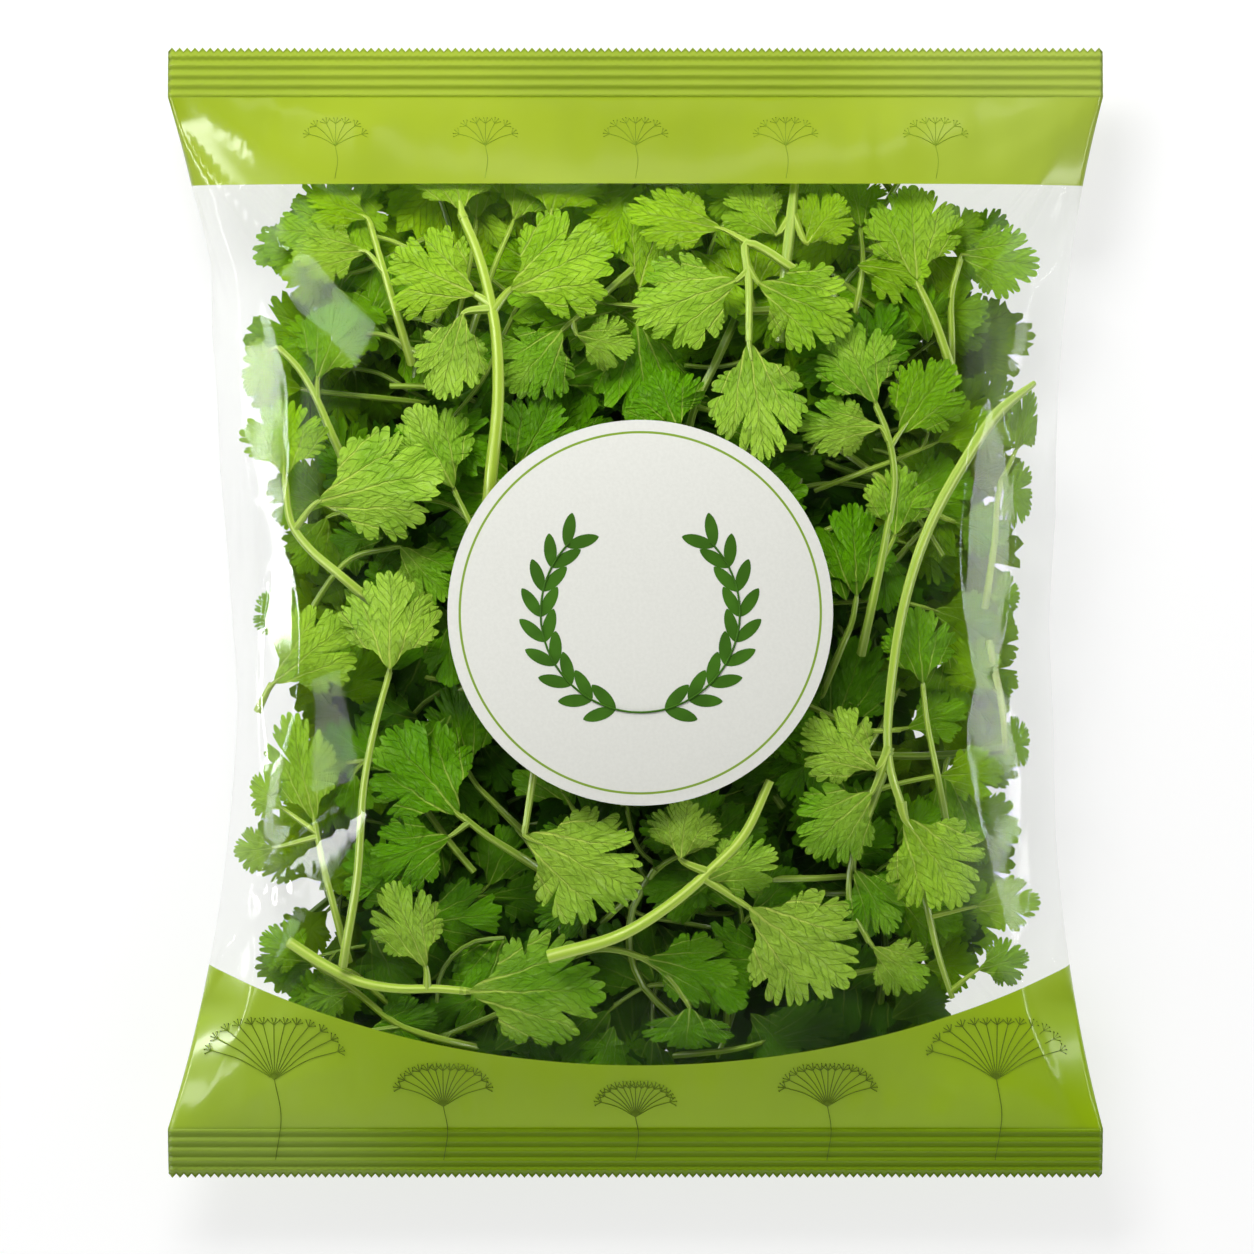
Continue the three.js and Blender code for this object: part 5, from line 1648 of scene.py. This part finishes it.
def soft_box(name, place, size, radiance):
    """A rectangular light that faces the middle of the bag; returns it, for its visibility."""
    lamp = bpy.data.lights.new(name, "AREA")
    lamp.shape, lamp.size, lamp.size_y = "RECTANGLE", *size
    lamp.energy = np.pi * size[0] * size[1] * radiance
    box = bpy.data.objects.new(name, lamp)
    box.location = place
    box.rotation_euler = (BAG_MIDDLE - Vector(place)).to_track_quat("-Z", "Y").to_euler()
    bpy.context.scene.collection.objects.link(box)
    return box


def gleam(name, from_zenith, azimuth, size, radiance, distance=1.7):
    """A soft box that shows only as a reflection, at the given angles in degrees."""
    tilt, turn = np.radians((from_zenith, azimuth))
    place = BAG_MIDDLE + distance * Vector((
        np.sin(tilt) * np.cos(turn), np.sin(tilt) * np.sin(turn), np.cos(tilt)))
    box = soft_box(name, place, size, radiance)
    box.visible_diffuse = box.visible_transmission = False


soft_box("key_light", (-0.2, 0.52, 0.58), (0.45, 0.25), 15.5).visible_glossy = False
soft_box("seal_light", (0.0, 2.2, 0.95), (1.0, 0.25), 3.0)
soft_box("fill_light", (0.0, -1.3, 0.8), (1.0, 0.4), 0.9).visible_glossy = False
gleam("right_gleam", 65, -2, (0.9, 0.22), 30)
gleam("left_gleam", 70, 180, (0.9, 0.22), 40)
gleam("top_left_gleam", 43, 140, (0.34, 0.34), 24)
gleam("low_left_gleam", 46, -162, (0.6, 0.34), 15)
print("lights:", [lamp.name for lamp in bpy.data.lights])

# %% The surround: bright round the horizon, and darker overhead, where the film would mirror it
tent = Finish("surround", bpy.data.worlds.new("surround"))


def ranged(value, low, high, at_low, at_high):
    """A straight line from at_low, where the value is low, to at_high, and level beyond."""
    return tent.node("ShaderNodeMapRange", None, {
        "Value": value, "From Min": low, "From Max": high, "To Min": at_low, "To Max": at_high})


direction = tent.node("ShaderNodeTexCoord")
horizon = ranged(tent.split(direction)[2], 0.5, 0.92, 1.0, 0.1)
panels = ranged(tent.noise(direction, 3.2, 1.0), 0.42, 0.58, 0.55, 1.15)
tent.done(tent.node("ShaderNodeBackground", None, {
    "Color": (1, 1, 1, 1), "Strength": horizon * panels}), "ShaderNodeOutputWorld")
bpy.context.scene.world = tent.material
bpy.context.scene.view_settings.view_transform = "Standard"
print("nodes in the surround:", len(tent.nodes))

# %% The camera
FRAME_WIDTH, CAMERA_ABOVE, SENSOR = 268.2, 2400.0, 36.0
lens = bpy.data.cameras.new("camera")
lens.sensor_width, lens.lens = SENSOR, SENSOR * CAMERA_ABOVE / FRAME_WIDTH
lens.clip_end = 10
camera = bpy.data.objects.new("camera", lens)
camera.location = (-0.0018, -0.0030, (SEAL_HEIGHT + CAMERA_ABOVE) * 0.001)
bpy.context.scene.collection.objects.link(camera)
bpy.context.scene.camera = camera
print("lens:", round(lens.lens, 1), "mm")

# %% [markdown]
# The visual model must stay inside the model's own box.
